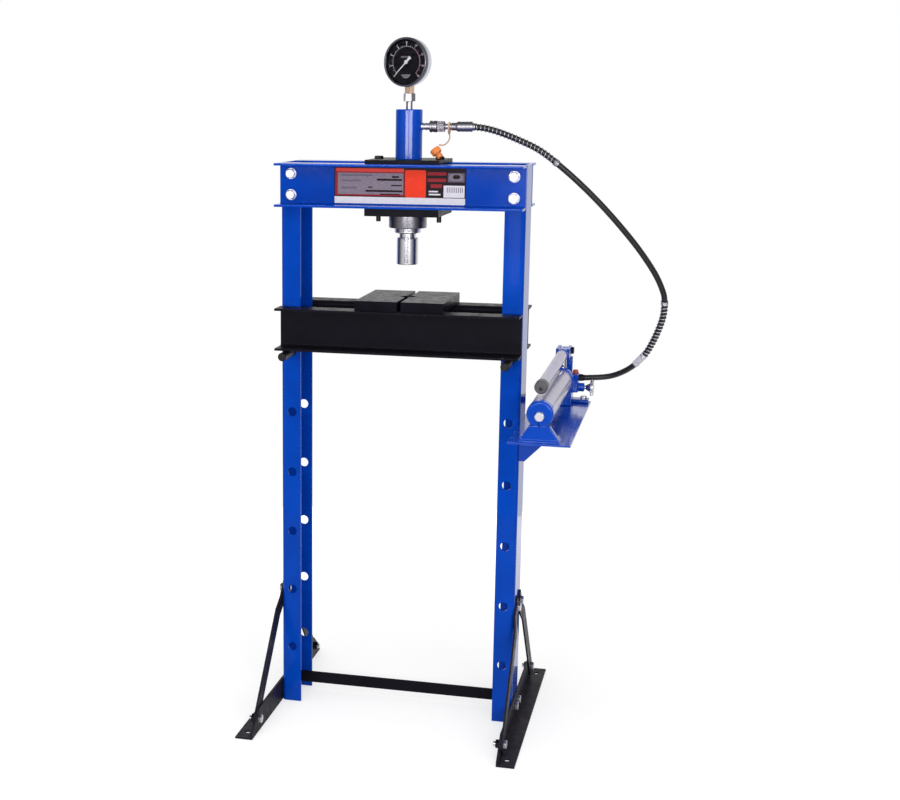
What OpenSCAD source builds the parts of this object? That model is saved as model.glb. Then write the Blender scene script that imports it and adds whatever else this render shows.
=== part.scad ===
// Floor-standing hydraulic press: an H frame of folded channels, a hydraulic cylinder in its head,
// a bed on two pins, a pressure gauge, and a hand pump on a shelf that feeds the cylinder by a hose.
// Origin on the floor in the middle of the frame. X runs to the right, Y to the rear, Z up.

/* [Frame] */
// Width over the outer faces of the two columns
frame_w = 518; // [440:1:640]
// Height of the head's top face above the floor
frame_h = 1200; // [1160:1:1450]
// Depth of a column, front to rear
column_d = 100; // [90:1:125]
// Width of a column's flange
column_flange = 43; // [40:1:52]
// Height of a beam in the head and in the bed
beam_h = 90; // [76:1:110]
// Width of a beam's flange
beam_flange = 54; // [45:1:66]
// Thickness of the folded steel
sheet_t = 5; // [4:0.5:6]
// Outside radius of a fold
fold_r = 9; // [8:0.5:11]

/* [Pin holes] */
// Diameter of a pin hole
hole_d = 20; // [19:0.5:23]
// Distance of the holes from a column's outer face
hole_inset = 24; // [23:0.5:27]
// Distance between two rows of holes
hole_pitch = 134; // [110:1:150]
// Number of rows
hole_rows = 6; // [3:1:6]
// Height of the highest row, which holds the bed
top_row_z = 799; // [780:1:900]

/* [Bed] */
// Diameter of a bed pin
pin_d = 18; // [14:0.5:18.5]
// Length of a bed pin
pin_l = 260; // [230:1:300]
// Width of one arbor plate
arbor_w = 90; // [70:1:94]
// Length of an arbor plate, front to rear
arbor_l = 200; // [160:1:205]
// Thickness of an arbor plate
arbor_t = 22; // [15:1:25]
// Gap between the two arbor plates
arbor_gap = 8; // [4:1:12]
// Depth of the notch in an arbor plate's inner edge
notch_depth = 15; // [8:1:20]

/* [Feet] */
// Length of a foot, front to rear
foot_l = 564; // [530:1:640]
// Width of a foot's flat leg
foot_w = 38; // [34:1:50]
// Height of a foot's upright leg
foot_h = 50; // [44:1:60]
// Length of the slanted corner at each end of the upright leg
foot_corner_l = 54; // [30:1:60]
// Height of the slanted corner
foot_corner_h = 40; // [20:1:40]
// Thickness of the feet, braces and tie bar
strap_t = 4; // [3:0.5:5]
// Width of a brace
brace_w = 34; // [26:1:38]
// Distance of a brace's lower bolt from the middle of the foot
brace_foot_y = 230; // [200:1:240]
// Height of a brace's upper bolt
brace_top_z = 257; // [220:1:300]
// Height of the tie bar itself
tie_bar_h = 26; // [24:1:30]
// Diameter of a floor bolt's hole
anchor_d = 12; // [10:1:14]
// Distance of a floor bolt's hole from the middle of the foot
anchor_y = 250; // [244:1:256]

/* [Cylinder] */
// How far the cylinder stands right of the middle of the frame
axis_x = 5; // [-10:1:10]
// Outside diameter of the cylinder's barrel
barrel_d = 56; // [52:1:62]
// Length of the barrel
barrel_l = 256; // [240:1:300]
// How far the barrel stands above the head's top face
barrel_above = 110; // [90:1:115]
// Bore of the barrel
bore_d = 44; // [42:0.5:46]
// Diameter of the ram's rod
rod_d = 35.5; // [32:0.5:36]
// Diameter of the ram's nose
nose_d = 46; // [40:1:50]
// Length of the nose
nose_l = 57; // [40:1:60]
// Diameter of the ring nut under the head
collar_d = 80; // [72:1:90]
// Height of the ring nut
collar_h = 28; // [20:1:28]
// Width of the clamp plates above and below the head
clamp_w = 156; // [150:1:190]
// Depth of the clamp plates
clamp_l = 158; // [140:1:200]
// Thickness of the upper clamp plate
top_plate_t = 8; // [6:1:10]
// Thickness of the lower clamp plate
bottom_plate_t = 17; // [14:1:20]

/* [Gauge] */
// Diameter of the gauge's case
gauge_d = 98; // [80:1:110]
// Turn of the gauge about its stem, towards the left
gauge_turn = 17; // [0:1:30]
// Depth of the case
gauge_depth = 32; // [28:1:40]

/* [Hose] */
// Outside diameter of the hose
hose_d = 12.5; // [10:0.5:13]
// Outside diameter of the spring guards
guard_d = 16; // [14:0.5:18]

/* [Pump] */
// Width of the shelf
shelf_w = 124; // [116:1:160]
// Length of the shelf, front to rear
shelf_l = 470; // [460:1:560]
// Distance of the shelf's front edge from the middle of the frame
shelf_front = 240; // [235:1:300]
// Height of the shelf's upper face
shelf_z = 668; // [660:1:700]
// Outside diameter of the oil reservoir
reservoir_d = 52; // [46:1:54]
// Wall of the reservoir
reservoir_wall = 3; // [2:0.5:4]
// Height of the reservoir's axis above the shelf
reservoir_z = 58; // [54:1:62]
// Outside diameter of the handle
handle_d = 23; // [20:0.5:26]
// Length of the handle, with its plug
handle_l = 360; // [300:1:420]
// Droop of the lowered handle towards the front
handle_droop = 1.6; // [0:0.1:2.5]
// Diameter of the pump's plunger
plunger_d = 14; // [12:1:16]
// Distance from the lever's pivot to the plunger's pin
plunger_arm = 26; // [24:1:28]
// Diameter of the release valve's knob
knob_d = 37; // [30:1:38]

/* [Hidden] */

$fn = 48;
blue = [0.02, 0.20, 0.62];
black = [0.06, 0.06, 0.07];
steel = [0.72, 0.72, 0.74];
dark_steel = [0.35, 0.35, 0.37];

// Fits and clearances
running = 0.05;       // radial gap of a sliding fit
seat_gap = 0.1;       // radial gap of a fixed joint
bolt_play = 0.5;      // radial gap of a bolt in its hole
bed_play = 0.5;       // gap between the bed and the columns
cut = 1;              // how far a cutter runs past a face

// Frame
half_w = frame_w / 2;
half_d = column_d / 2;
head_z = frame_h - beam_h;
hole_x = half_w - hole_inset;

// Bolts of the head, the feet and the shelf
head_bolt_d = 12;
head_bolt_af = 18;
head_bolt_head = 9;
head_flange_d = 25;
head_flange_t = 2;
head_bolt_pitch = 44;
head_nut_h = 10;
foot_bolt_d = 10;
foot_bolt_af = 17;
foot_bolt_head = 7;
foot_nut_h = 8;
foot_bolt_tail = 5;
brace_bolt_tail = 0.6;  // short, so that a pin passes the brace bolts in the lowest holes

// Bed: the pins lie in the bottom of their holes, and the beams lie on the pins
pin_rest = hole_d / 2 - pin_d / 2 - running;
pin_z = top_row_z - pin_rest;
bed_z = pin_z + pin_d / 2 + running;
bed_top = bed_z + beam_h;
bed_y = half_d + bed_play;
spacer_t = 6;
spacer_h = 60;
spacer_play = 3;
spacer_x = half_w - column_flange - spacer_play - spacer_t;
arbor_x = axis_x + 3;

// Feet and braces
foot_bolt_z = 28;
foot_bolt_y = 20;
brace_top_y = 24.5;
brace_end = 16.5;
brace_joggle = 30;
brace_run = brace_foot_y - brace_top_y;
brace_rise = brace_top_z - foot_bolt_z;
brace_pitch = norm([brace_run, brace_rise]);
brace_angle = atan2(brace_rise, brace_run);
tie_behind = 12;
tie_tab_over = 14;
tie_y = foot_bolt_y + tie_behind;
tie_tab_y = foot_bolt_y + tie_tab_over;

// Cylinder
barrel_top = frame_h + barrel_above;
barrel_foot = barrel_top - barrel_l;
bore_top = barrel_top - 25;
plate_foot = head_z - bottom_plate_t;
clamp_bolt_d = 10;
clamp_bolt_af = 17;
clamp_bolt_head = 6;
clamp_bolt_x = 65;
clamp_bolt_tail = 16;
clamp_shift = 1.5;
gland_h = 25;
piston_h = 25;
piston_top = bore_top - 5;
nose_top = barrel_foot - 9;
nose_foot = nose_top - nose_l;
rod_bore_d = 24;
rod_floor = nose_top + 30;
nose_stud_d = 18;
nose_stud_l = 18;
seal_h = 8;
seal_depth = 3;
spring_d = 20;
wire_d = 3.5;
spring_turns = 9;

// Gauge
adapter_d = 14;
adapter_af = 22;
adapter_sink = 14;
adapter_stub = 16;
adapter_hex = 16;
stem_foot = barrel_top + adapter_stub + adapter_hex;
stem_w = 15;
stem_h = 16;
stem_spigot_d = 10;
stem_spigot_l = 12;
gauge_r = gauge_d / 2;
gauge_z = stem_foot + stem_h - 2 + gauge_r;
case_wall = 2;
case_front = -19;
case_back_r = gauge_r * 0.7;
case_shoulder = 12;
stem_sink = 7;
bezel_reach = 4;
bezel_slope = 2;
bezel_over = 1;
bezel_l = 10;
dial_y = case_front + 4;
dial_t = 1;
lens_y = case_front - 1.5;
lens_t = 2;
bezel_lip = 3.5;
spindle_d = 3;
pointer_y = dial_y - 2;
pointer_l = 33;
pointer_w = 2.4;
pointer_tip = 1.2;
pointer_tail = 14;
pointer_tail_w = 7;
spindle_l = 10;
pointer_zero = 225;

// Quick coupler, along X from the barrel's side
port_z = barrel_top - 35;
port_x = axis_x + barrel_d / 2;
nipple_d = 15;
nipple_sink = 4;
nipple_l = 22;
sleeve_x = port_x + 16;
sleeve_d = 24;
sleeve_l = 16;
knurl_d = 22;
knurl_l = 16;
neck_d = 13;
ferrule_x = port_x + 74;
ferrule_l = 32;
ferrule_d = 21;
oil_way_d = 5;

// Dust cap that lies on the upper clamp plate, and its tether
cap_d = 22;
cap_l = 13;
cap_plug_d = 14;
cap_plug_l = 10;
cap_lean = 40;
cap_turn = 10;
cap_low = cap_plug_d / 2 * sin(cap_lean) + (cap_l / 2 + cap_plug_l) * cos(cap_lean);
cap_pos = [axis_x + 62, -25, frame_h + top_plate_t + cap_low + seat_gap];
tether_d = 3;
tether_ring_x = port_x + 57;
tether_ring_d = neck_d + 12;
tether_ring_drop = (tether_ring_d - 2 * tether_d - neck_d) / 2 - seat_gap;

// Pump
pump_x = half_w + shelf_w / 2;
shelf_t = 4;
shelf_drop = 82;
gusset_w = 90;
gusset_tip = 12;
shelf_bolt_y = 28;
shelf_bolt_z = shelf_z - 50;
reservoir_axis = shelf_z + reservoir_z;
front_y = -shelf_front;
rear_y = shelf_l - shelf_front;
cap_disc_d = reservoir_d + 2;
cap_disc_t = 26;
cap_foot_w = 80;
cap_foot_l = 40;
cap_foot_t = 6;
cap_web_t = 18;
cap_web_narrow = 0.72;  // of the round part's width
cap_web_reach = 0.62;   // of the way up to the axis
tube_front = front_y + cap_disc_t + 2;
head_front = 140;
spigot_l = 12;
spigot_d = reservoir_d - 2 * reservoir_wall - 2 * seat_gap;
head_ring_d = reservoir_d + 7;
head_ring_l = 18;
head_block_w = 48;
head_block_rear = 212;
head_top = shelf_z + 68;
head_foot_w = 116;
head_foot_l = 32;
head_foot_t = 8;
valve_block_x = 12;
valve_block_h = 40;
valve_block_y = [172, 212];
valve_block_top = head_top;
valve_boss_d = 19;
valve_boss_l = 14;
mount_bolt_d = 8;
mount_bolt_af = 13;
mount_bolt_head = 5.5;
mount_front_x = 31;
mount_front_y = front_y + 30;
mount_rear_x = 46;
mount_rear_y = rear_y - 12;
tie_rod_d = 10;
tie_rod_af = 18;
tie_rod_head = 8;
tie_rod_drop = 3;
tie_rod_grip = 12;

// Lever of the pump
lever_shift = 3;
lever_turn = 0.8;
pivot = [pump_x + lever_shift, 200, shelf_z + 118];
pivot_d = 10;
pivot_af = 14;
pivot_head = 5;
arm_w = 14;
arm_front = 8;
arm_web_side = 18;
arm_web_top = 2;
cheek_gap = arm_w / 2 + 0.8;
cheek_t = 7.2;
cheek_r = 11;
socket_back = 46;
socket_l = 16;
socket_d = handle_d + 4;
socket_floor = 3;
plug_d = handle_d + 4;
plug_l = 25;
plug_spigot = 18;
plug_hole_d = 7;
plug_hole_l = 10;
plug_edge = 3;
handle_wall = 2;
beam_pin_d = 8;
eye_t = 14;
eye_r = 9;
slot_run = 8;
plunger_y = pivot[1] - plunger_arm;
plunger_foot = shelf_z + 34;
gland_af = 22;
gland_top = head_top + 4;
gland_spigot_d = 20;
gland_spigot_l = 14;

// Release valve, filler plug and hose port on the valve block
block_x = pump_x + head_block_w / 2 + valve_block_x;
valve_y = 184;
valve_z = shelf_z + 39;
valve_stem_d = 8;
valve_sink = 20;
valve_x = block_x + valve_boss_l;
knob_x = valve_x + 13;
knob_t = 7;
knob_hub_d = 20;
knob_hub_gap = 3;
filler_x = block_x - 7;
filler_y = 190;
filler_d = 12;
filler_h = 9;
filler_neck_d = 9;
filler_neck_l = 7;
filler_edge = 2;
port_y = 204;
hose_port_z = shelf_z + 57;
fitting_af = 14;
fitting_hex = 8;
fitting_l = 12;
fitting_neck_d = 8;
fitting_neck_l = 8;

// Way of the hose, from the upper crimp ferrule to the fitting on the pump
hose_start = [ferrule_x + ferrule_l, 0, port_z];
hose_end = [block_x + fitting_l, port_y, hose_port_z];
upper_guard_way = [hose_start, [165, 0, 1272], [195, 1, 1264], [236, 3, 1248], [277, 8, 1228]];
open_way = [
    [277, 8, 1228], [318, 18, 1197], [360, 30, 1160], [402, 45, 1118], [443, 62, 1072],
    [482, 82, 1023], [515, 102, 973], [532, 116, 936], [537, 126, 912]
];
lower_guard_way = [[537, 126, 912], [535, 138, 878], [526, 150, 846], [514, 162, 816], [499, 174, 788]];
lower_ferrule_way = [[499, 174, 788], [475, 187, 760]];
tail_way = [[475, 187, 760], [446, 199, 740], [415, 206, 729], hose_end];
lower_ferrule_d = 15.5;
hose_sides = 10;

// ---------- general shapes ----------

// Channel section: back along Y at x = 0, flanges towards +x, with rounded folds
module channel_section(depth, flange) {
    difference() {
        rounded_back(depth, flange, fold_r);
        translate([sheet_t, 0])
            rounded_back(depth - 2 * sheet_t, flange, fold_r - sheet_t);
    }
}

module rounded_back(depth, flange, r) {
    translate([0, -depth / 2 + r]) square([flange, depth - 2 * r]);
    translate([r, -depth / 2]) square([flange - r, depth]);
    for (side = [-1, 1])
        translate([r, side * (depth / 2 - r)]) circle(r = r);
}

module hexagon_bar(af, h) {
    cylinder(d = af / cos(30), h = h, $fn = 6);
}

// Bolt with its seat at z = 0, its head above and its shank below
module hex_bolt(d, af, head_h, shank, flange = 0, flange_h = 0) {
    translate([0, 0, -shank]) cylinder(d = d, h = shank + head_h / 2);
    if (flange > 0) cylinder(d1 = flange, d2 = flange - 2, h = flange_h);
    intersection() {
        translate([0, 0, flange_h > 0 ? flange_h / 2 : 0]) hexagon_bar(af, head_h);
        cylinder(d1 = af + 2 * head_h, d2 = af - 1, h = head_h + flange_h / 2);
    }
}

module hex_nut(d, af, h) {
    difference() {
        hexagon_bar(af, h);
        translate([0, 0, -cut]) cylinder(d = d + 2 * seat_gap, h = h + 2 * cut);
    }
}

module tube_of(outer, inner, h) {
    difference() {
        cylinder(d = outer, h = h);
        translate([0, 0, -cut]) cylinder(d = inner, h = h + 2 * cut);
    }
}

// Turns a shape that stands along +Z so that it points along +X, -Y or +Y
module to_right() rotate([0, 90, 0]) children();
module to_front() rotate([90, 0, 0]) children();
module to_rear() rotate([-90, 0, 0]) children();

// ---------- swept tubes ----------

function unit(v) = v / norm(v);

// Point at share u between b and c on a smooth curve through a, b, c and d
function spline_point(a, b, c, d, u) =
    0.5 * (2 * b + (c - a) * u + (2 * a - 5 * b + 4 * c - d) * u * u
        + (3 * b - a - 3 * c + d) * u * u * u);

function smooth(way, steps) = let (last = len(way) - 1) [
    for (i = [0 : last - 1], k = [0 : steps - 1])
        spline_point(way[max(i - 1, 0)], way[i], way[i + 1], way[min(i + 2, last)], k / steps),
    way[last]
];

function heading(line, i) =
    unit(line[min(i + 1, len(line) - 1)] - line[max(i - 1, 0)]);

function ring_at(p, t, r, sides) =
    let (across = unit(cross(t, [0, 1, 0])), up = cross(across, t))
    [for (k = [0 : sides - 1]) p + r * (cos(360 * k / sides) * across + sin(360 * k / sides) * up)];

function tube_faces(rings, sides) = concat(
    [[for (k = [0 : sides - 1]) sides - 1 - k]],
    [for (i = [0 : rings - 2], k = [0 : sides - 1], half = [0, 1])
        let (a = i * sides + k, b = i * sides + (k + 1) % sides)
        half == 0 ? [a, b, b + sides] : [a, b + sides, a + sides]],
    [[for (k = [0 : sides - 1]) (rings - 1) * sides + k]]
);

// Round tube along a line; the end headings may be given so that the ends lie flat on a face
module swept_tube(line, d, sides, first = undef, last = undef) {
    rings = [for (i = [0 : len(line) - 1])
        ring_at(line[i],
            i == 0 && first != undef ? first
                : i == len(line) - 1 && last != undef ? last : heading(line, i),
            d / 2, sides)];
    polyhedron(points = [for (ring = rings, p = ring) p], faces = tube_faces(len(line), sides));
}

// ---------- frame ----------

// A column on the left; the right one is its mirror image
module column_shape() {
    difference() {
        translate([-half_w, 0, 0])
            linear_extrude(frame_h) channel_section(column_d, column_flange);
        for (row = [0 : hole_rows - 1])
            translate([-hole_x, half_d + cut, top_row_z - row * hole_pitch])
                to_front() cylinder(d = hole_d, h = column_d + 2 * cut);
        for (z = head_bolt_heights())
            translate([-hole_x, half_d + cut, z])
                to_front() cylinder(d = head_bolt_d + 2 * bolt_play, h = column_d + 2 * cut);
        for (spot = web_bolt_spots())
            translate([-half_w - cut, spot[0], spot[1]])
                to_right() cylinder(d = foot_bolt_d + 2 * bolt_play, h = sheet_t + 2 * cut);
    }
}

function head_bolt_heights() =
    [for (side = [-1, 1]) head_z + beam_h / 2 + side * head_bolt_pitch / 2];

// Bolts through a column's web: two for the foot and two for the braces
function web_bolt_spots() = concat(
    [for (side = [-1, 1]) [side * foot_bolt_y, foot_bolt_z]],
    [for (side = [-1, 1]) [side * brace_top_y, brace_top_z]]
);

module left_column() color(blue) column_shape();

module right_column() color(blue) difference() {
    mirror([1, 0, 0]) column_shape();
    for (side = [-1, 1])
        translate([half_w - sheet_t - cut, side * shelf_bolt_y, shelf_bolt_z])
            to_right() cylinder(d = foot_bolt_d + 2 * bolt_play, h = sheet_t + 2 * cut);
}

// Beam along X with its back at y = 0 and its flanges towards +Y
module beam_shape() {
    translate([-half_w, 0, beam_h / 2])
        rotate([90, 0, 90]) linear_extrude(frame_w) channel_section(beam_h, beam_flange);
}

module head_beam_shape() {
    difference() {
        beam_shape();
        for (side = [-1, 1], z = head_bolt_heights())
            translate([side * hole_x, -cut, z - head_z])
                to_rear() cylinder(d = head_bolt_d + 2 * bolt_play, h = sheet_t + 2 * cut);
    }
}

module head_beam_rear() color(blue) translate([0, half_d, head_z]) head_beam_shape();
module head_beam_front() color(blue)
    mirror([0, 1, 0]) translate([0, half_d, head_z]) head_beam_shape();

module at_head_bolts() {
    for (side = [-1, 1], face = [0, 1], z = head_bolt_heights())
        mirror([0, face, 0]) translate([side * hole_x, half_d, z]) children();
}

module head_bolts() color(steel) at_head_bolts()
    translate([0, sheet_t, 0]) to_rear()
        hex_bolt(head_bolt_d, head_bolt_af, head_bolt_head,
            2 * sheet_t + head_nut_h + 3, head_flange_d, head_flange_t);

module head_nuts() color(steel) at_head_bolts()
    translate([0, -sheet_t, 0]) to_front() hex_nut(head_bolt_d, head_bolt_af, head_nut_h);

// ---------- clamp plates ----------

module clamp_plate(t, bolt_gap) {
    difference() {
        translate([axis_x + clamp_shift - clamp_w / 2, -clamp_l / 2, 0])
            cube([clamp_w, clamp_l, t]);
        translate([axis_x, 0, -cut]) cylinder(d = barrel_d + 2 * seat_gap, h = t + 2 * cut);
        at_clamp_bolts()
            translate([0, 0, -cut]) cylinder(d = clamp_bolt_d + 2 * bolt_gap, h = t + 2 * cut);
    }
}

module at_clamp_bolts() {
    for (side = [-1, 1])
        translate([axis_x + clamp_shift + side * clamp_bolt_x, 0, 0]) children();
}

module top_plate() color(black)
    translate([0, 0, frame_h]) clamp_plate(top_plate_t, bolt_play);
module bottom_plate() color(black)
    translate([0, 0, plate_foot]) clamp_plate(bottom_plate_t, seat_gap);

module clamp_bolts() color(dark_steel) at_clamp_bolts()
    translate([0, 0, frame_h + top_plate_t])
        hex_bolt(clamp_bolt_d, clamp_bolt_af, clamp_bolt_head,
            top_plate_t + beam_h + bottom_plate_t + clamp_bolt_tail);

// ---------- feet, braces and tie bar ----------

// Side view of a foot's upright leg, with its slanted corners
module foot_side() {
    end = foot_l / 2;
    polygon([
        [-end, 0], [end, 0], [end, foot_h - foot_corner_h], [end - foot_corner_l, foot_h],
        [foot_corner_l - end, foot_h], [-end, foot_h - foot_corner_h]
    ]);
}

// The right foot; the left one is its mirror image
module foot_shape() {
    difference() {
        translate([half_w, 0, 0]) {
            rotate([90, 0, 90]) linear_extrude(strap_t) foot_side();
            translate([0, -foot_l / 2, 0]) cube([foot_w, foot_l, strap_t]);
        }
        for (side = [-1, 1]) {
            translate([half_w - cut, side * foot_bolt_y, foot_bolt_z]) foot_bolt_hole();
            translate([half_w - cut, side * brace_foot_y, foot_bolt_z]) foot_bolt_hole();
            translate([half_w + foot_w / 2, side * anchor_y, -cut])
                cylinder(d = anchor_d, h = strap_t + 2 * cut);
        }
    }
}

module foot_bolt_hole() {
    to_right() cylinder(d = foot_bolt_d + 2 * bolt_play, h = strap_t + 2 * cut);
}

module right_foot() color(black) foot_shape();
module left_foot() color(black) mirror([1, 0, 0]) foot_shape();

// Side view of a brace along its length: flat on the foot, then stepped in onto the column
module brace_profile() {
    step = brace_pitch - brace_joggle;
    polygon([
        [-brace_end, strap_t], [-brace_end, 2 * strap_t],
        [step - brace_joggle, 2 * strap_t], [step, strap_t], [brace_pitch + brace_end, strap_t],
        [brace_pitch + brace_end, 0], [step, 0], [step - brace_joggle, strap_t]
    ]);
}

// The front brace of the right foot
module brace_shape() {
    translate([half_w, -brace_foot_y, foot_bolt_z])
        rotate([brace_angle, 0, 0]) difference() {
            translate([0, 0, -brace_w / 2]) linear_extrude(brace_w)
                rotate(90) mirror([0, 1]) brace_profile();
            for (s = [0, brace_pitch])
                translate([-cut, s, 0]) to_right()
                    cylinder(d = foot_bolt_d + 2 * bolt_play, h = 2 * strap_t + 2 * cut);
        }
}

module braces() color(black) {
    for (side = [0, 1], end = [0, 1])
        mirror([side, 0, 0]) mirror([0, end, 0]) brace_shape();
}

// Places along one foot: distance from the middle, height, grip outside and inside the column's
// outer face, and how far the bolt's end passes its nut
function foot_bolt_spots() = [
    [brace_foot_y, foot_bolt_z, 2 * strap_t, 0, foot_bolt_tail],
    [foot_bolt_y, foot_bolt_z, strap_t, sheet_t + strap_t, foot_bolt_tail],
    [brace_top_y, brace_top_z, strap_t, sheet_t, brace_bolt_tail]
];

// Bolts point inwards from the outer faces, with the nuts inside. Only the lower brace bolt at the
// left foot's front end is put in from the inner side.
module at_foot_bolts() {
    for (side = [0, 1], end = [0, 1], spot = foot_bolt_spots())
        mirror([side, 0, 0]) mirror([0, 1 - end, 0])
            translate([half_w, spot[0], spot[1]])
                if (side == 1 && end == 0 && spot[0] == brace_foot_y)
                    rotate([0, 180, 0]) foot_bolt_frame(spot[3], spot[2], spot[4]) children();
                else
                    foot_bolt_frame(spot[2], spot[3], spot[4]) children();
}

// Sets the thickness to be held outside and inside the column's outer face, and the bolt's tail
module foot_bolt_frame(outer, inner, tail) {
    $outer = outer;
    $inner = inner;
    $tail = tail;
    children();
}

module foot_bolts() color(steel) at_foot_bolts()
    translate([$outer, 0, 0]) to_right()
        hex_bolt(foot_bolt_d, foot_bolt_af, foot_bolt_head,
            $outer + $inner + foot_nut_h + $tail);

module foot_nuts() color(dark_steel) at_foot_bolts()
    translate([-$inner, 0, 0]) rotate([0, -90, 0]) hex_nut(foot_bolt_d, foot_bolt_af, foot_nut_h);

module tie_bar() color(black) {
    inner = half_w - sheet_t;
    difference() {
        translate([0, 0, foot_bolt_z - tie_bar_h / 2]) {
            translate([-inner, tie_y, 0]) cube([2 * inner, strap_t, tie_bar_h]);
            for (side = [-1, 1])
                translate([side * (inner - strap_t / 2) - strap_t / 2, -tie_tab_y, 0])
                    cube([strap_t, tie_tab_y + tie_y + strap_t, tie_bar_h]);
        }
        for (side = [-1, 1], end = [-1, 1])
            translate([side * (inner - strap_t / 2) - strap_t / 2 - cut,
                    end * foot_bolt_y, foot_bolt_z])
                foot_bolt_hole();
    }
}

// ---------- cylinder ----------

module barrel_profile() {
    edge = 2;
    polygon([
        [bore_d / 2, 0], [barrel_d / 2 - edge, 0], [barrel_d / 2, edge],
        [barrel_d / 2, barrel_l - edge], [barrel_d / 2 - edge, barrel_l], [0, barrel_l],
        [0, bore_top - barrel_foot], [bore_d / 2, bore_top - barrel_foot]
    ]);
}

module cylinder_barrel() color(blue) difference() {
    translate([axis_x, 0, barrel_foot]) rotate_extrude() barrel_profile();
    translate([axis_x, 0, barrel_top - adapter_sink])
        cylinder(d = adapter_d + 2 * seat_gap, h = adapter_sink + cut);
    translate([axis_x, 0, bore_top - cut]) cylinder(d = oil_way_d, h = barrel_top - bore_top);
    translate([port_x - nipple_sink, 0, port_z])
        to_right() cylinder(d = nipple_d + 2 * seat_gap, h = nipple_sink + cut);
    translate([axis_x, 0, port_z]) to_right() cylinder(d = oil_way_d, h = barrel_d / 2);
}

module cylinder_collar() color(steel)
    translate([axis_x, 0, plate_foot - collar_h]) difference() {
        union() {
            translate([0, 0, 2]) cylinder(d = collar_d, h = collar_h - 2);
            cylinder(d1 = collar_d - 4, d2 = collar_d, h = 2);
        }
        translate([0, 0, -cut]) cylinder(d = barrel_d + 2 * seat_gap, h = collar_h + 2 * cut);
    }

module cylinder_gland() color(steel)
    translate([axis_x, 0, barrel_foot])
        tube_of(bore_d - 2 * seat_gap, rod_d + 2 * running, gland_h);

module ram_plunger() color(steel) translate([axis_x, 0, 0]) difference() {
    union() {
        translate([0, 0, nose_top]) cylinder(d = rod_d, h = piston_top - nose_top);
        translate([0, 0, piston_top - piston_h])
            cylinder(d = bore_d - 4 * running, h = piston_h);
    }
    translate([0, 0, piston_top - piston_h / 2 - seal_h / 2])
        tube_of(bore_d + cut, bore_d - 4 * running - 2 * seal_depth, seal_h);
    translate([0, 0, rod_floor]) cylinder(d = rod_bore_d, h = piston_top - rod_floor + cut);
    translate([0, 0, nose_top - cut])
        cylinder(d = nose_stud_d + 2 * seat_gap, h = nose_stud_l + seat_gap + cut);
}

module ram_seal() color([0.1, 0.1, 0.1])
    translate([axis_x, 0, piston_top - piston_h / 2 - seal_h / 2 + seat_gap])
        tube_of(bore_d - 2 * running, bore_d - 2 * seal_depth, seal_h - 2 * seat_gap);

module ram_nose() color(steel) translate([axis_x, 0, nose_foot]) {
    edge = 2;
    cylinder(d1 = nose_d - 2 * edge, d2 = nose_d, h = edge);
    translate([0, 0, edge]) cylinder(d = nose_d, h = nose_l - 2 * edge);
    translate([0, 0, nose_l - edge]) cylinder(d1 = nose_d, d2 = nose_d - 2 * edge, h = edge);
    translate([0, 0, nose_l - edge]) cylinder(d = nose_stud_d, h = nose_stud_l + edge);
}

// Pulls the ram back up: hung from the barrel's closed end and hooked in the plunger
module return_spring() color(steel) {
    steps = spring_turns * 10;
    foot = rod_floor + wire_d / 2 + seat_gap;
    top = bore_top - wire_d / 2 - seat_gap;
    line = [for (i = [0 : steps])
        let (a = 360 * spring_turns * i / steps, r = (spring_d - wire_d) / 2)
        [axis_x + r * cos(a), r * sin(a), foot + (top - foot) * i / steps]];
    rings = [for (i = [0 : steps])
        let (t = heading(line, i), across = unit(cross(t, [0, 0, 1])), up = cross(across, t))
        [for (k = [0 : 5]) line[i] + wire_d / 2 * (cos(60 * k) * across + sin(60 * k) * up)]];
    polyhedron(points = [for (ring = rings, p = ring) p], faces = tube_faces(len(line), 6));
}

// ---------- gauge ----------

module gauge_adapter() color(steel) translate([axis_x, 0, barrel_top]) difference() {
    union() {
        translate([0, 0, -adapter_sink])
            cylinder(d = adapter_d, h = adapter_sink + adapter_stub);
        translate([0, 0, adapter_stub]) hexagon_bar(adapter_af, adapter_hex);
    }
    translate([0, 0, adapter_stub + adapter_hex - stem_spigot_l])
        cylinder(d = stem_spigot_d + 2 * seat_gap, h = stem_spigot_l + cut);
    translate([0, 0, -adapter_sink - cut])
        cylinder(d = oil_way_d, h = adapter_sink + adapter_stub + adapter_hex);
}

module gauge_stem() color([0.75, 0.55, 0.30])
    translate([axis_x, 0, stem_foot]) rotate([0, 0, -gauge_turn]) {
        translate([-stem_w / 2, -stem_w / 2, 0]) cube([stem_w, stem_w, stem_h + 3]);
        translate([0, 0, -stem_spigot_l + seat_gap])
            cylinder(d = stem_spigot_d, h = stem_spigot_l);
    }

// Places a shape that looks towards -Y about the gauge's own axis
module in_gauge() {
    translate([axis_x, 0, gauge_z]) rotate([0, 0, -gauge_turn]) children();
}

module gauge_case() color(dark_steel) in_gauge() difference() {
    translate([0, case_front, 0]) to_rear() rotate_extrude() polygon([
        [0, gauge_depth], [case_back_r, gauge_depth], [gauge_r - 3, gauge_depth - 4],
        [gauge_r, gauge_depth - case_shoulder], [gauge_r, 0], [gauge_r - case_wall, 0],
        [gauge_r - case_wall, gauge_depth - case_shoulder], [case_back_r, gauge_depth - case_wall],
        [0, gauge_depth - case_wall]
    ]);
    translate([-stem_w / 2 - seat_gap, -stem_w / 2 - seat_gap, -gauge_r - cut])
        cube([stem_w + 2 * seat_gap, stem_w + 2 * seat_gap, stem_sink + cut]);
}

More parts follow.
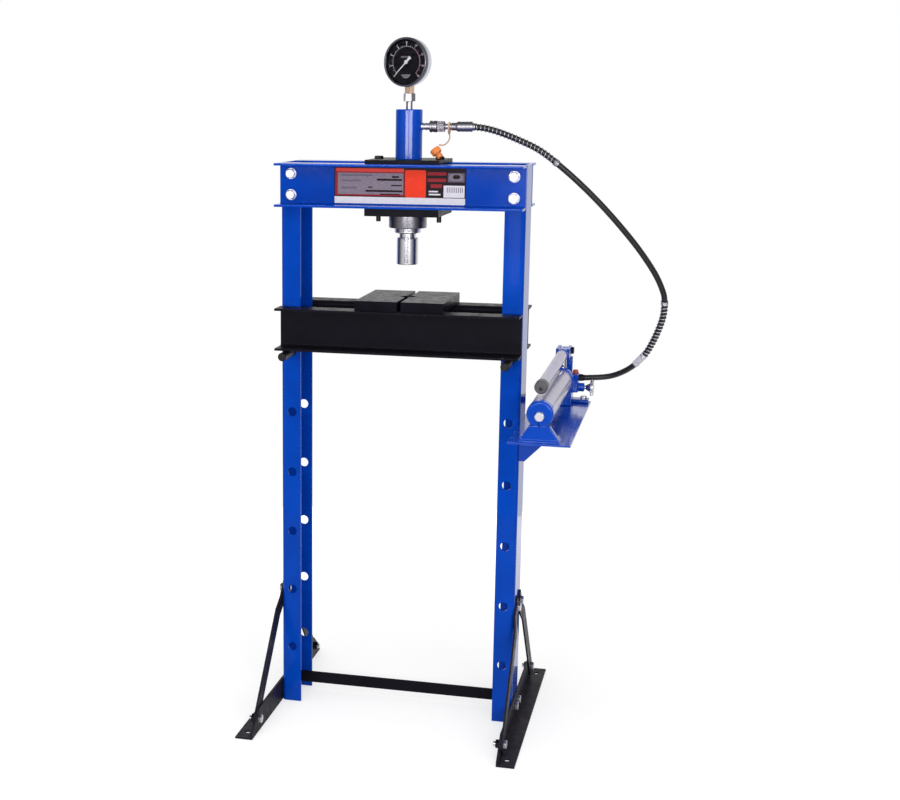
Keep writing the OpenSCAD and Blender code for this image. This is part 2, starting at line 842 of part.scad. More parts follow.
module gauge_bezel() color(steel) in_gauge()
    translate([0, case_front - bezel_reach, 0]) to_rear() difference() {
        union() {
            translate([0, 0, bezel_slope]) cylinder(r = gauge_r + bezel_over, h = bezel_l - bezel_slope);
            cylinder(r1 = gauge_r - bezel_over, r2 = gauge_r + bezel_over, h = bezel_slope);
        }
        translate([0, 0, -cut]) cylinder(r = gauge_r - bezel_lip, h = bezel_l);
        translate([0, 0, bezel_slope]) cylinder(r = gauge_r - case_wall, h = bezel_l);
        translate([0, 0, bezel_reach - seat_gap]) cylinder(r = gauge_r + seat_gap, h = bezel_l);
    }

module gauge_dial() color(black) in_gauge()
    translate([0, dial_y, 0]) to_rear()
        tube_of(2 * (gauge_r - case_wall - seat_gap), spindle_d + 2 * running, dial_t);

module gauge_lens() color([0.8, 0.9, 0.9, 0.3]) in_gauge()
    translate([0, lens_y, 0]) to_rear() cylinder(r = gauge_r - case_wall - seat_gap, h = lens_t);

// Clockwise angle from the top, as seen from the front
module gauge_pointer() color("white") in_gauge() rotate([0, pointer_zero, 0]) {
    translate([0, pointer_y, 0]) to_front() linear_extrude(1, center = true) {
        polygon([
            [-pointer_w / 2, 0], [-pointer_tip / 2, pointer_l], [pointer_tip / 2, pointer_l],
            [pointer_w / 2, 0], [pointer_tail_w / 2, -pointer_tail], [-pointer_tail_w / 2, -pointer_tail]
        ]);
        circle(d = 8);
    }
    translate([0, pointer_y, 0]) to_rear() cylinder(d = spindle_d, h = spindle_l);
}

// ---------- quick coupler, dust cap ----------

module coupler_nipple() color(steel) translate([0, 0, port_z]) difference() {
    translate([port_x - nipple_sink, 0, 0])
        to_right() cylinder(d = nipple_d, h = nipple_sink + nipple_l);
    translate([port_x - nipple_sink - cut, 0, 0])
        to_right() cylinder(d = oil_way_d, h = nipple_sink + nipple_l + 2 * cut);
}

module coupler_sleeve() color(steel) translate([sleeve_x, 0, port_z]) to_right() {
    nipple_in = port_x + nipple_l - sleeve_x;
    difference() {
        union() {
            cylinder(d = sleeve_d, h = sleeve_l);
            translate([0, 0, sleeve_l - cut]) cylinder(d = knurl_d, h = knurl_l + cut);
        }
        translate([0, 0, -cut])
            cylinder(d = nipple_d + 2 * seat_gap, h = nipple_in + seat_gap + cut);
        cylinder(d = oil_way_d, h = sleeve_l + knurl_l + cut);
        translate([0, 0, sleeve_l]) cylinder(d = neck_d + 2 * seat_gap, h = knurl_l + cut);
    }
}

module hose_ferrules() color(steel) {
    neck_x = sleeve_x + sleeve_l + seat_gap;
    difference() {
        union() {
            translate([neck_x, 0, port_z]) to_right()
                cylinder(d = neck_d, h = ferrule_x - neck_x + cut);
            translate([ferrule_x, 0, port_z]) to_right() cylinder(d = ferrule_d, h = ferrule_l);
        }
        translate([neck_x - cut, 0, port_z]) to_right()
            cylinder(d = oil_way_d, h = ferrule_x + ferrule_l - neck_x + 2 * cut);
    }
    swept_tube(lower_ferrule_way, lower_ferrule_d, 12);
}

lower_axis = unit(lower_ferrule_way[1] - lower_ferrule_way[0]);

module hose_guards() color(dark_steel) {
    swept_tube(smooth(upper_guard_way, 2), guard_d, hose_sides, first = [1, 0, 0],
        last = heading(open_way, 0));
    swept_tube(smooth(lower_guard_way, 2), guard_d, hose_sides,
        first = heading(lower_guard_way, 0), last = lower_axis);
}

module hose() color([0.08, 0.08, 0.09]) {
    swept_tube(smooth(open_way, 3), hose_d, hose_sides, first = heading(open_way, 0),
        last = heading(lower_guard_way, 0));
    swept_tube(smooth(tail_way, 3), hose_d, hose_sides, first = lower_axis, last = [-1, 0, 0]);
}

module hose_fitting() color(steel) translate([block_x, port_y, hose_port_z]) difference() {
    union() {
        translate([-fitting_neck_l, 0, 0]) to_right()
            cylinder(d = fitting_neck_d, h = fitting_neck_l + cut);
        to_right() hexagon_bar(fitting_af, fitting_hex);
        to_right() cylinder(d = hose_d + 1, h = fitting_l);
    }
    translate([-fitting_neck_l - cut, 0, 0]) to_right()
        cylinder(d = oil_way_d, h = fitting_neck_l + fitting_l + 2 * cut);
}

// The dust cap hangs on its tether with its plug leaning on the upper clamp plate
module dust_cap() color([0.80, 0.36, 0.10])
    translate(cap_pos) rotate([0, 0, -cap_turn]) rotate([0, 180 - cap_lean, 0]) {
        translate([0, 0, 2 - cap_l / 2]) cylinder(d = cap_d, h = cap_l - 2);
        translate([0, 0, -cap_l / 2]) cylinder(d1 = cap_d - 4, d2 = cap_d, h = 2);
        translate([0, 0, cap_l / 2 - cut]) cylinder(d = cap_plug_d, h = cap_plug_l + cut);
    }

tether_top = [tether_ring_x, 0, port_z - tether_ring_drop - tether_ring_d / 2 + tether_d / 2];
tether_way = [
    tether_top, tether_top + [2, -5, -8], tether_top + [0, -11, -16],
    cap_pos + [17, -1, 13], cap_pos + [6.5, 0.5, 13]
];

module cap_tether() color([0.62, 0.33, 0.14]) {
    translate([tether_ring_x - tether_d / 2, 0, port_z - tether_ring_drop]) to_right()
        tube_of(tether_ring_d, tether_ring_d - 2 * tether_d, tether_d);
    swept_tube(smooth(tether_way, 3), tether_d, 8);
}

// ---------- pump shelf ----------

module pump_shelf() color(blue) difference() {
    union() {
        translate([half_w, front_y, shelf_z - shelf_t]) cube([shelf_w, shelf_l, shelf_t]);
        translate([half_w, -half_d, shelf_z - shelf_drop])
            cube([shelf_t, column_d, shelf_drop]);
        for (y = [-half_d, half_d - shelf_t])
            translate([half_w, y + shelf_t, shelf_z - shelf_t]) to_front()
                linear_extrude(shelf_t)
                    polygon([[0, 0], [gusset_w, 0], [gusset_tip, shelf_t - shelf_drop],
                        [0, shelf_t - shelf_drop]]);
    }
    for (side = [-1, 1])
        translate([half_w - cut, side * shelf_bolt_y, shelf_bolt_z]) foot_bolt_hole();
    at_mount_bolts() translate([0, 0, -shelf_t - cut])
        cylinder(d = mount_bolt_d + 2 * seat_gap, h = shelf_t + 2 * cut);
}

module at_shelf_bolts() {
    for (side = [-1, 1])
        translate([half_w, side * shelf_bolt_y, shelf_bolt_z]) children();
}

module shelf_bolts() color(dark_steel) at_shelf_bolts()
    translate([shelf_t, 0, 0]) to_right()
        hex_bolt(foot_bolt_d, foot_bolt_af, foot_bolt_head,
            shelf_t + sheet_t + foot_nut_h + 2);

module shelf_nuts() color(dark_steel) at_shelf_bolts()
    translate([-sheet_t, 0, 0]) rotate([0, -90, 0])
        hex_nut(foot_bolt_d, foot_bolt_af, foot_nut_h);

// Spots of the pump's mounting bolts on the shelf
module at_mount_bolts() {
    for (side = [-1, 1]) {
        translate([pump_x + side * mount_front_x, mount_front_y, shelf_z]) children();
        translate([pump_x + side * mount_rear_x, mount_rear_y, shelf_z]) children();
    }
}

module pump_mount_bolts() color(dark_steel) {
    for (side = [-1, 1]) {
        translate([pump_x + side * mount_front_x, mount_front_y, shelf_z + cap_foot_t])
            hex_bolt(mount_bolt_d, mount_bolt_af, mount_bolt_head, cap_foot_t + shelf_t + 2);
        translate([pump_x + side * mount_rear_x, mount_rear_y, shelf_z + head_foot_t])
            hex_bolt(mount_bolt_d, mount_bolt_af, mount_bolt_head, head_foot_t + shelf_t + 2);
    }
}

// ---------- reservoir ----------

module reservoir_tube() color(steel)
    translate([pump_x, tube_front, reservoir_axis]) to_rear()
        tube_of(reservoir_d, reservoir_d - 2 * reservoir_wall, head_front - tube_front);

module reservoir_cap() color(blue) translate([pump_x, 0, 0]) difference() {
    union() {
        translate([0, front_y + 2, reservoir_axis]) to_rear() {
            cylinder(d1 = cap_disc_d - 6, d2 = cap_disc_d, h = 3);
            translate([0, 0, 3]) cylinder(d = cap_disc_d, h = cap_disc_t - 3);
            cylinder(d = spigot_d, h = cap_disc_t + spigot_l);
        }
        translate([0, front_y + 2 + cap_web_t, shelf_z]) to_front() linear_extrude(cap_web_t)
            polygon([
                [-cap_foot_w / 2, 0], [cap_foot_w / 2, 0], [cap_foot_w / 2, cap_foot_t],
                [cap_disc_d / 2 * cap_web_narrow, reservoir_z * cap_web_reach],
                [-cap_disc_d / 2 * cap_web_narrow, reservoir_z * cap_web_reach],
                [-cap_foot_w / 2, cap_foot_t]
            ]);
        translate([-cap_foot_w / 2, front_y, shelf_z]) cube([cap_foot_w, cap_foot_l, cap_foot_t]);
    }
    translate([0, front_y, reservoir_axis - tie_rod_drop]) to_rear()
        cylinder(d = tie_rod_d + 2 * seat_gap, h = cap_disc_t + spigot_l + 3 * cut);
    for (side = [-1, 1])
        translate([side * mount_front_x, mount_front_y, shelf_z - cut])
            cylinder(d = mount_bolt_d + 2 * seat_gap, h = cap_foot_t + 2 * cut);
}

// Long bolt through the reservoir that holds the cap, the tube and the pump head together
module reservoir_tie_rod() color(steel)
    translate([pump_x, front_y + 2, reservoir_axis - tie_rod_drop]) to_front()
        hex_bolt(tie_rod_d, tie_rod_af, tie_rod_head, head_front - front_y + 8);

// ---------- pump head ----------

module pump_head() color(blue) difference() {
    union() {
        translate([pump_x, head_front, reservoir_axis]) to_rear()
            cylinder(d = head_ring_d, h = head_ring_l);
        translate([pump_x - head_block_w / 2, head_front + head_ring_l - 2, shelf_z])
            cube([head_block_w, head_block_rear - head_front - head_ring_l + 2,
                head_top - shelf_z]);
        translate([pump_x - head_foot_w / 2, rear_y - head_foot_l, shelf_z])
            cube([head_foot_w, head_foot_l, head_foot_t]);
        translate([pump_x, head_front + cut, reservoir_axis]) to_front()
            cylinder(d = spigot_d, h = spigot_l + cut);
        translate([pump_x, valve_block_y[0], valve_block_top - valve_block_h])
            cube([block_x - pump_x, valve_block_y[1] - valve_block_y[0], valve_block_h]);
        translate([block_x - cut, valve_y, valve_z]) to_right()
            cylinder(d = valve_boss_d, h = valve_boss_l + cut);
        at_pivot() {
            translate([-arm_w / 2, -arm_front, head_top - cut - pivot[2]])
                cube([arm_w, 2 * arm_front, pivot[2] - head_top + cut]);
            translate([-arm_w / 2, 0, 0]) to_right() cylinder(r = arm_front, h = arm_w);
            translate([0, -arm_front, head_top - cut - pivot[2]])
                cube([arm_web_side, 2 * arm_front,
                    pivot[2] - head_top + cut - cheek_r - arm_web_top]);
        }
    }
    at_pivot() translate([-arm_w, 0, 0]) to_right()
        cylinder(d = pivot_d + 2 * running, h = 2 * arm_w);
    translate([pivot[0], plunger_y, plunger_foot - 6])
        cylinder(d = plunger_d + 2 * bolt_play, h = head_top - plunger_foot + 6 + cut);
    translate([pivot[0], plunger_y, head_top - gland_spigot_l - seat_gap])
        cylinder(d = gland_spigot_d + 2 * seat_gap, h = gland_spigot_l + seat_gap + cut);
    translate([pump_x, head_front - spigot_l - cut, reservoir_axis - tie_rod_drop]) to_rear()
        cylinder(d = tie_rod_d + 2 * seat_gap, h = spigot_l + tie_rod_grip + cut);
    translate([valve_x - valve_sink, valve_y, valve_z]) to_right()
        cylinder(d = valve_stem_d + 2 * running, h = valve_sink + cut);
    translate([block_x - fitting_neck_l - seat_gap, port_y, hose_port_z]) to_right()
        cylinder(d = fitting_neck_d + 2 * seat_gap, h = fitting_neck_l + seat_gap + cut);
    translate([filler_x, filler_y, valve_block_top - filler_neck_l - cut])
        cylinder(d = filler_neck_d + 2 * seat_gap, h = filler_neck_l + 2 * cut);
    for (side = [-1, 1])
        translate([pump_x + side * mount_rear_x, mount_rear_y, shelf_z - cut])
            cylinder(d = mount_bolt_d + 2 * seat_gap, h = head_foot_t + 2 * cut);
}

module pump_gland() color(steel) translate([pivot[0], plunger_y, head_top]) difference() {
    union() {
        hexagon_bar(gland_af, gland_top - head_top);
        translate([0, 0, -gland_spigot_l]) cylinder(d = gland_spigot_d, h = gland_spigot_l + cut);
    }
    translate([0, 0, -gland_spigot_l - cut])
        cylinder(d = plunger_d + 2 * running, h = gland_spigot_l + gland_top - head_top + 2 * cut);
}

module filler_plug() color([0.80, 0.25, 0.12])
    translate([filler_x, filler_y, valve_block_top]) {
        cylinder(d = filler_d, h = filler_h - filler_edge);
        translate([0, 0, filler_h - filler_edge])
            cylinder(d1 = filler_d, d2 = filler_d - 1.5 * filler_edge, h = filler_edge);
        translate([0, 0, -filler_neck_l]) cylinder(d = filler_neck_d, h = filler_neck_l + cut);
    }

module release_valve() color(steel) translate([0, valve_y, valve_z]) {
    translate([valve_x - valve_sink + cut, 0, 0]) to_right()
        cylinder(d = valve_stem_d, h = knob_x - valve_x + valve_sink);
    translate([valve_x + knob_hub_gap, 0, 0]) to_right()
        cylinder(d1 = valve_stem_d, d2 = knob_hub_d, h = knob_x - valve_x - knob_hub_gap);
    translate([knob_x, 0, 0]) to_right() cylinder(d = knob_d, h = knob_t);
}

// ---------- lever and plunger ----------

// Places a shape about the lever's pivot, whose axis is turned a little about Z
module at_pivot() {
    translate(pivot) rotate([0, 0, -lever_turn]) children();
}

// Places the lever's parts about the pivot, drooping towards the front
module in_lever() {
    at_pivot() rotate([handle_droop, 0, 0]) children();
}

// Side shape of one cheek: a bar with round ends, from the pivot to the socket
module cheek_outline() {
    circle(r = cheek_r);
    translate([-socket_back - 2, -cheek_r]) square([socket_back + 2, 2 * cheek_r]);
}

module pump_beam() color(blue) in_lever() difference() {
    union() {
        for (side = [-1, 1])
            translate([side * (cheek_gap + cheek_t / 2), 0, 0]) rotate([90, 0, 90])
                linear_extrude(cheek_t, center = true) cheek_outline();
        translate([0, -socket_back, 0]) to_front() cylinder(d = socket_d, h = socket_l);
    }
    translate([0, -socket_back - socket_floor, 0]) to_front()
        cylinder(d = handle_d + 2 * seat_gap, h = socket_l);
    translate([-socket_d, 0, 0]) to_right()
        cylinder(d = pivot_d + 2 * running, h = 2 * socket_d);
    translate([-socket_d, -plunger_arm, 0]) to_right()
        cylinder(d = beam_pin_d + 2 * seat_gap, h = 2 * socket_d);
}

module pump_handle() color(steel) in_lever()
    translate([0, -socket_back - socket_floor - seat_gap, 0]) to_front()
        tube_of(handle_d, handle_d - 2 * handle_wall, handle_l - plug_l);

module handle_plug() color(dark_steel) in_lever()
    translate([0, -socket_back - socket_floor - 2 * seat_gap - handle_l + plug_l, 0]) to_front()
        difference() {
            union() {
                cylinder(d = plug_d, h = plug_l - plug_edge);
                translate([0, 0, plug_l - plug_edge])
                    cylinder(d1 = plug_d, d2 = plug_d - 5, h = plug_edge);
                translate([0, 0, -plug_spigot])
                    cylinder(d = handle_d - 2 * handle_wall - 2 * seat_gap, h = plug_spigot + cut);
            }
            translate([0, -3, plug_l - plug_hole_l]) cylinder(d = plug_hole_d, h = plug_hole_l + cut);
        }

module pivot_bolt() color(black) in_lever()
    translate([cheek_gap + cheek_t, 0, 0]) to_right()
        hex_bolt(pivot_d, pivot_af, pivot_head, 2 * (cheek_gap + cheek_t) + 4);

module plunger_pin() color(steel) in_lever()
    translate([-cheek_gap - cheek_t, -plunger_arm, 0]) to_right()
        cylinder(d = beam_pin_d, h = 2 * (cheek_gap + cheek_t));

// The pin runs along a slot in the plunger's eye as the beam turns
module pump_plunger() color(steel) {
    pin_z = pivot[2] - plunger_arm * sin(handle_droop);
    difference() {
        union() {
            translate([pivot[0], plunger_y, plunger_foot])
                cylinder(d = plunger_d, h = pin_z - plunger_foot - eye_r + 2);
            translate([pivot[0] - eye_t / 2, plunger_y, pin_z]) to_right()
                linear_extrude(eye_t) eye_outline(eye_r);
        }
        translate([pivot[0] - eye_t, plunger_y, pin_z]) to_right()
            linear_extrude(2 * eye_t) eye_outline(beam_pin_d / 2 + 1);
    }
}

// Round-ended outline, from the plunger's axis towards the rear by slot_run
module eye_outline(r) {
    circle(r = r);
    translate([0, slot_run]) circle(r = r);
    translate([-r, 0]) square([2 * r, slot_run]);
}

// ---------- bed ----------

module bed_beam_rear() color(black) translate([0, bed_y, bed_z]) beam_shape();
module bed_beam_front() color(black)
    mirror([0, 1, 0]) translate([0, bed_y, bed_z]) beam_shape();

module bed_spacers() color(black)
    for (side = [-1, 1])
        translate([side * (spacer_x + spacer_t / 2) - spacer_t / 2, -bed_y,
                bed_z + (beam_h - spacer_h) / 2])
            cube([spacer_t, 2 * bed_y, spacer_h]);

// The right plate; the left one is its mirror image
module arbor_plate_shape() {
    translate([arbor_gap / 2, 0, bed_top]) linear_extrude(arbor_t) polygon([
        [0, -arbor_l / 2], [arbor_w, -arbor_l / 2], [arbor_w, arbor_l / 2], [0, arbor_l / 2],
        [0, notch_depth], [notch_depth, 0], [0, -notch_depth]
    ]);
}

module arbor_plates() color(black)
    translate([arbor_x, 0, 0])
        for (side = [0, 1]) mirror([side, 0, 0]) arbor_plate_shape();

module pin_shape() {
    edge = 1.5;
    translate([0, -pin_l / 2, pin_z]) to_rear() {
        cylinder(d1 = pin_d - 2 * edge, d2 = pin_d, h = edge);
        translate([0, 0, edge]) cylinder(d = pin_d, h = pin_l - 2 * edge);
        translate([0, 0, pin_l - edge]) cylinder(d1 = pin_d, d2 = pin_d - 2 * edge, h = edge);
    }
}

module left_bed_pin() color(dark_steel) translate([-hole_x, 0, 0]) pin_shape();
module right_bed_pin() color(dark_steel) translate([hole_x, 0, 0]) pin_shape();

left_column();
right_column();
head_beam_front();
head_beam_rear();
head_bolts();
head_nuts();
top_plate();
bottom_plate();
clamp_bolts();
left_foot();
right_foot();
braces();
foot_bolts();
foot_nuts();
tie_bar();
cylinder_barrel();
cylinder_collar();
cylinder_gland();
gauge_adapter();
gauge_stem();
gauge_case();
gauge_bezel();
gauge_dial();
gauge_lens();
gauge_pointer();
coupler_nipple();
coupler_sleeve();
hose_ferrules();
hose_guards();
hose();
hose_fitting();
dust_cap();
cap_tether();
pump_shelf();
shelf_bolts();
shelf_nuts();
pump_mount_bolts();
reservoir_tube();
reservoir_cap();
reservoir_tie_rod();
pump_head();
pump_gland();
filler_plug();
release_valve();
pump_plunger();
pump_beam();
pump_handle();
handle_plug();
pivot_bolt();
plunger_pin();
ram_plunger();
ram_seal();
ram_nose();
return_spring();
bed_beam_front();
bed_beam_rear();
bed_spacers();
arbor_plates();
left_bed_pin();
right_bed_pin();
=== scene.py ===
import math

import bmesh
import bpy
from mathutils import Matrix, Vector


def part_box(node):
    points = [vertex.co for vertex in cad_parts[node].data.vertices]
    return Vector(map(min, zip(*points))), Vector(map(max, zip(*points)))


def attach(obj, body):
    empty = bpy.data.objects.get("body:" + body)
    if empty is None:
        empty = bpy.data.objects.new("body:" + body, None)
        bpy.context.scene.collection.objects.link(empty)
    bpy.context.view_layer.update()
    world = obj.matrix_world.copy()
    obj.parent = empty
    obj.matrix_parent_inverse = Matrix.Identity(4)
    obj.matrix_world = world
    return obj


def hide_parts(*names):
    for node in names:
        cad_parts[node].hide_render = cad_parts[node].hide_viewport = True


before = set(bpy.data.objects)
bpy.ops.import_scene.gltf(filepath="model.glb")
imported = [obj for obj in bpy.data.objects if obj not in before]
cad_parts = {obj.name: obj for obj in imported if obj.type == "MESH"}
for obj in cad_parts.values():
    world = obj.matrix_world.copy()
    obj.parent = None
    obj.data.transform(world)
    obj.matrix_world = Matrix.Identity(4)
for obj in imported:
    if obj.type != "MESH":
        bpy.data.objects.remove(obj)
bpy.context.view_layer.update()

bl_info = {
    "name": "Hydraulic press",
    "version": (1, 0, 0),
    "blender": (4, 5, 0),
    "location": "View3D > Sidebar > Press",
    "description": "Builds the looks of a floor-standing hydraulic press around its CAD frame",
    "category": "Object",
}

# Pieces are modelled in millimetres, and put in the frame in metres
MM = 0.001

# Camera: place in millimetres, turns in radians, lens in millimetres, shift in sensor widths
CAMERA_PLACE = (645.2781, -3156.0680, 1326.0813)
CAMERA_YAW = 0.2520780
CAMERA_PITCH = 0.2027604
CAMERA_ROLL = 0.0027900
CAMERA_LENS = 60.725
CAMERA_SENSOR = 36.0
CAMERA_SHIFT = (0.13555, 0.014594)

# Route of the hose from the coupler to the pump, the same points as in the CAD source
HOSE_START = (139, 0, 1275)
UPPER_GUARD_ROUTE = [(165, 0, 1272), (195, 1, 1264), (236, 3, 1248), (277, 8, 1228)]
OPEN_ROUTE = [
    (318, 18, 1197), (360, 30, 1160), (402, 45, 1118), (443, 62, 1072),
    (482, 82, 1023), (515, 102, 973), (532, 116, 936), (537, 126, 912),
]
LOWER_GUARD_ROUTE = [(535, 138, 878), (526, 150, 846), (514, 162, 816), (499, 174, 788)]
TAIL_ROUTE = [(475, 187, 760), (446, 199, 740), (415, 206, 729), (369, 204, 725)]


# ---- helpers for shapes


def along(points, steps):
    """A smooth curve through the points, with a few steps between each two."""
    line = []
    last = len(points) - 1
    for i in range(last):
        before, start, end, after = (
            Vector(points[k]) for k in (max(i - 1, 0), i, i + 1, min(i + 2, last))
        )
        for step in range(steps):
            t = step / steps
            line.append(
                0.5
                * (
                    2 * start
                    + (end - before) * t
                    + (2 * before - 5 * start + 4 * end - after) * t**2
                    + (3 * start - before - 3 * end + after) * t**3
                )
            )
    line.append(Vector(points[last]))
    return line


def line_length(line):
    """Length of a line of points."""
    return sum((b - a).length for a, b in zip(line, line[1:]))


def part_of(line, start, end):
    """The stretch of a line between two distances from its first point."""
    kept = []
    walked = 0.0
    for a, b in zip(line, line[1:]):
        run = (b - a).length
        if not kept and walked + run > start:
            kept.append(a.lerp(b, (start - walked) / run))
        if kept and walked + run >= end:
            kept.append(a.lerp(b, (end - walked) / run))
            return kept
        if kept:
            kept.append(b.copy())
        walked += run
    return kept


def carried_frames(line):
    """Each point of a line with two crosswise directions, turning as little as they can."""
    frames = []
    side = None
    for i, point in enumerate(line):
        ahead = (line[min(i + 1, len(line) - 1)] - line[max(i - 1, 0)]).normalized()
        if side is None:
            side = ahead.orthogonal().normalized()
        side = (side - ahead * side.dot(ahead)).normalized()
        frames.append((point, side, ahead.cross(side)))
    return frames


def weld(bm, distance):
    """Merges points that lie closer than a distance."""
    bmesh.ops.remove_doubles(bm, verts=bm.verts, dist=distance)


def curve_shape(curve):
    """A curve's own mesh as a shape. The curve is thrown away."""
    holder = bpy.data.objects.new(curve.name, curve)
    mesh = bpy.data.meshes.new_from_object(holder)
    bm = bmesh.new()
    bm.from_mesh(mesh)
    bpy.data.objects.remove(holder)
    bpy.data.curves.remove(curve)
    bpy.data.meshes.remove(mesh)
    return bm


def tube_shape(line, thickness, around):
    """A closed tube of one thickness along a line."""
    curve = bpy.data.curves.new("tube", "CURVE")
    curve.dimensions = "3D"
    curve.bevel_depth = thickness / 2
    curve.bevel_resolution = max(around // 2 - 2, 0)
    curve.use_fill_caps = True
    curve.twist_mode = "MINIMUM"
    spline = curve.splines.new("POLY")
    spline.points.add(len(line) - 1)
    for spot, point in zip(spline.points, line):
        spot.co = (*point, 1.0)
    bm = curve_shape(curve)
    weld(bm, 0.001)
    return bm


def ease_edges(bm, ease, angle, steps):
    """Rounds the edges that are sharper than an angle."""
    limit = math.radians(angle)
    edges = [
        edge
        for edge in bm.edges
        if len(edge.link_faces) == 2 and edge.calc_face_angle(0.0) > limit
    ]
    if edges:
        bmesh.ops.bevel(
            bm, geom=edges, offset=ease, offset_type="OFFSET", segments=steps, profile=0.5,
            affect="EDGES", clamp_overlap=False, material=-1,
        )


def turned(*profile, steps=48, ring=False):
    """A shape turned about Z from (radius, height) pairs.

    The pairs start and end on the axis, or go round the section of a ring.
    """
    bm = bmesh.new()
    spots = [bm.verts.new((radius, 0, height)) for radius, height in profile]
    ends = spots[1:] + spots[:1] if ring else spots[1:]
    edges = [bm.edges.new(pair) for pair in zip(spots, ends)]
    bmesh.ops.spin(
        bm, geom=spots + edges, cent=(0, 0, 0), axis=(0, 0, 1), angle=math.tau, steps=steps,
        use_merge=True,
    )
    weld(bm, 0.0005)
    bmesh.ops.recalc_face_normals(bm, faces=bm.faces)
    return bm


def moved(bm, matrix):
    """A shape carried by a matrix."""
    bmesh.ops.transform(bm, matrix=matrix, verts=bm.verts)
    return bm


def laid(bm, toward, place=(0, 0, 0)):
    """Turns a shape's Z axis towards a direction and moves it to a place."""
    turn = Vector(toward).to_track_quat("Z", "Y").to_matrix().to_4x4()
    return moved(bm, Matrix.Translation(place) @ turn)


def as_mesh(bm, name):
    """A shape as a mesh. The shape is used up."""
    mesh = bpy.data.meshes.new(name)
    bm.to_mesh(mesh)
    bm.free()
    return mesh


def added(name, data):
    """A new object in the scene."""
    thing = bpy.data.objects.new(name, data)
    bpy.context.scene.collection.objects.link(thing)
    return thing


def joined(*shapes):
    """Several shapes as one."""
    whole = shapes[0]
    for shape in shapes[1:]:
        mesh = as_mesh(shape, "joined")
        whole.from_mesh(mesh)
        bpy.data.meshes.remove(mesh)
    return whole


def put(bm, name, finish, *nodes, body="frame", sharp=32.0):
    """Makes a finished piece of a shape in millimetres: it rides on a body and stands for nodes."""
    bmesh.ops.scale(bm, vec=(MM,) * 3, verts=bm.verts)
    limit = math.radians(sharp)
    for edge in bm.edges:
        edge.smooth = len(edge.link_faces) == 2 and edge.calc_face_angle(0.0) < limit
    for face in bm.faces:
        face.smooth = True
    mesh = as_mesh(bm, name)
    piece = added(name, mesh)
    mesh.materials.append(bpy.data.materials[finish])
    even = piece.modifiers.new("Even normals", "WEIGHTED_NORMAL")
    even.keep_sharp = True
    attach(piece, body)
    if nodes:
        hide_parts(*nodes)
    return piece


def eased(finish, ease, *nodes, body="frame", angle=30.0, steps=2):
    """Makes pieces of CAD nodes: doubles merged, flat faces joined, sharp edges rounded."""
    for node in nodes:
        bm = bmesh.new()
        bm.from_mesh(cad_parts[node].data)
        bmesh.ops.scale(bm, vec=(1 / MM,) * 3, verts=bm.verts)
        weld(bm, 0.004)
        bmesh.ops.dissolve_limit(
            bm, angle_limit=math.radians(0.6), verts=bm.verts, edges=bm.edges
        )
        ease_edges(bm, ease, angle, steps)
        put(bm, node + ".eased", finish, node, body=body)


def dress(node, finish):
    """Gives a CAD node that keeps its shape a finish."""
    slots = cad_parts[node].data.materials
    slots.clear()
    slots.append(bpy.data.materials[finish])


# ---- helpers for finishes


def new_group(name, outputs, **inputs):
    """An empty shader node group with a Place input, number inputs and named outputs."""
    tree = bpy.data.node_groups.new(name, "ShaderNodeTree")
    tree.interface.new_socket("Place", in_out="INPUT", socket_type="NodeSocketVector")
    for label, value in inputs.items():
        socket = tree.interface.new_socket(label, in_out="INPUT", socket_type="NodeSocketFloat")
        socket.default_value = value
    for label in outputs:
        tree.interface.new_socket(label, in_out="OUTPUT", socket_type="NodeSocketFloat")
    given = tree.nodes.new("NodeGroupInput").outputs
    return tree, given, tree.nodes.new("NodeGroupOutput")


def give(tree, socket, value):
    """Joins a socket to another one, or sets its value."""
    if isinstance(value, bpy.types.NodeSocket):
        tree.links.new(value, socket)
    else:
        socket.default_value = value


def feed(tree, node, **values):
    """Gives a node's inputs their links or values. An underscore stands for a space."""
    for label, value in values.items():
        give(tree, node.inputs[label.replace("_", " ")], value)


def reckon(tree, operation, *values, clamp=False):
    """A Math node's result."""
    node = tree.nodes.new("ShaderNodeMath")
    node.operation = operation
    node.use_clamp = clamp
    for socket, value in zip(node.inputs, values):
        give(tree, socket, value)
    return node.outputs[0]


def times(tree, first, second):
    """The product of two values."""
    return reckon(tree, "MULTIPLY", first, second)


def plus(tree, first, second, clamp=False):
    """The sum of two values."""
    return reckon(tree, "ADD", first, second, clamp=clamp)


def minus(tree, first, second):
    """The first value less the second."""
    return reckon(tree, "SUBTRACT", first, second)


def spread(tree, value, low, high, to_low=0.0, to_high=1.0):
    """A value from one range laid out over another, and held inside it."""
    node = tree.nodes.new("ShaderNodeMapRange")
    feed(tree, node, Value=value, From_Min=low, From_Max=high, To_Min=to_low, To_Max=to_high)
    return node.outputs["Result"]


def blend_colours(tree, share, first, second):
    """Two colours mixed by a share."""
    node = tree.nodes.new("ShaderNodeMix")
    node.data_type = "RGBA"
    for index, value in ((0, share), (6, first), (7, second)):
        give(tree, node.inputs[index], value)
    return node.outputs[2]


def noise(tree, vector, scale, detail=2.0, roughness=0.5):
    """A noise pattern's value."""
    node = tree.nodes.new("ShaderNodeTexNoise")
    feed(tree, node, Vector=vector, Scale=scale, Detail=detail, Roughness=roughness)
    return node.outputs["Fac"]


def object_place(tree):
    """Object coordinates, in metres."""
    return tree.nodes.new("ShaderNodeTexCoord").outputs["Object"]


def split(tree, vector):
    """A vector's X, Y and Z."""
    node = tree.nodes.new("ShaderNodeSeparateXYZ")
    tree.links.new(vector, node.inputs[0])
    return node.outputs


def surface_normal(tree):
    """The direction that the surface faces."""
    return tree.nodes.new("ShaderNodeNewGeometry").outputs["Normal"]


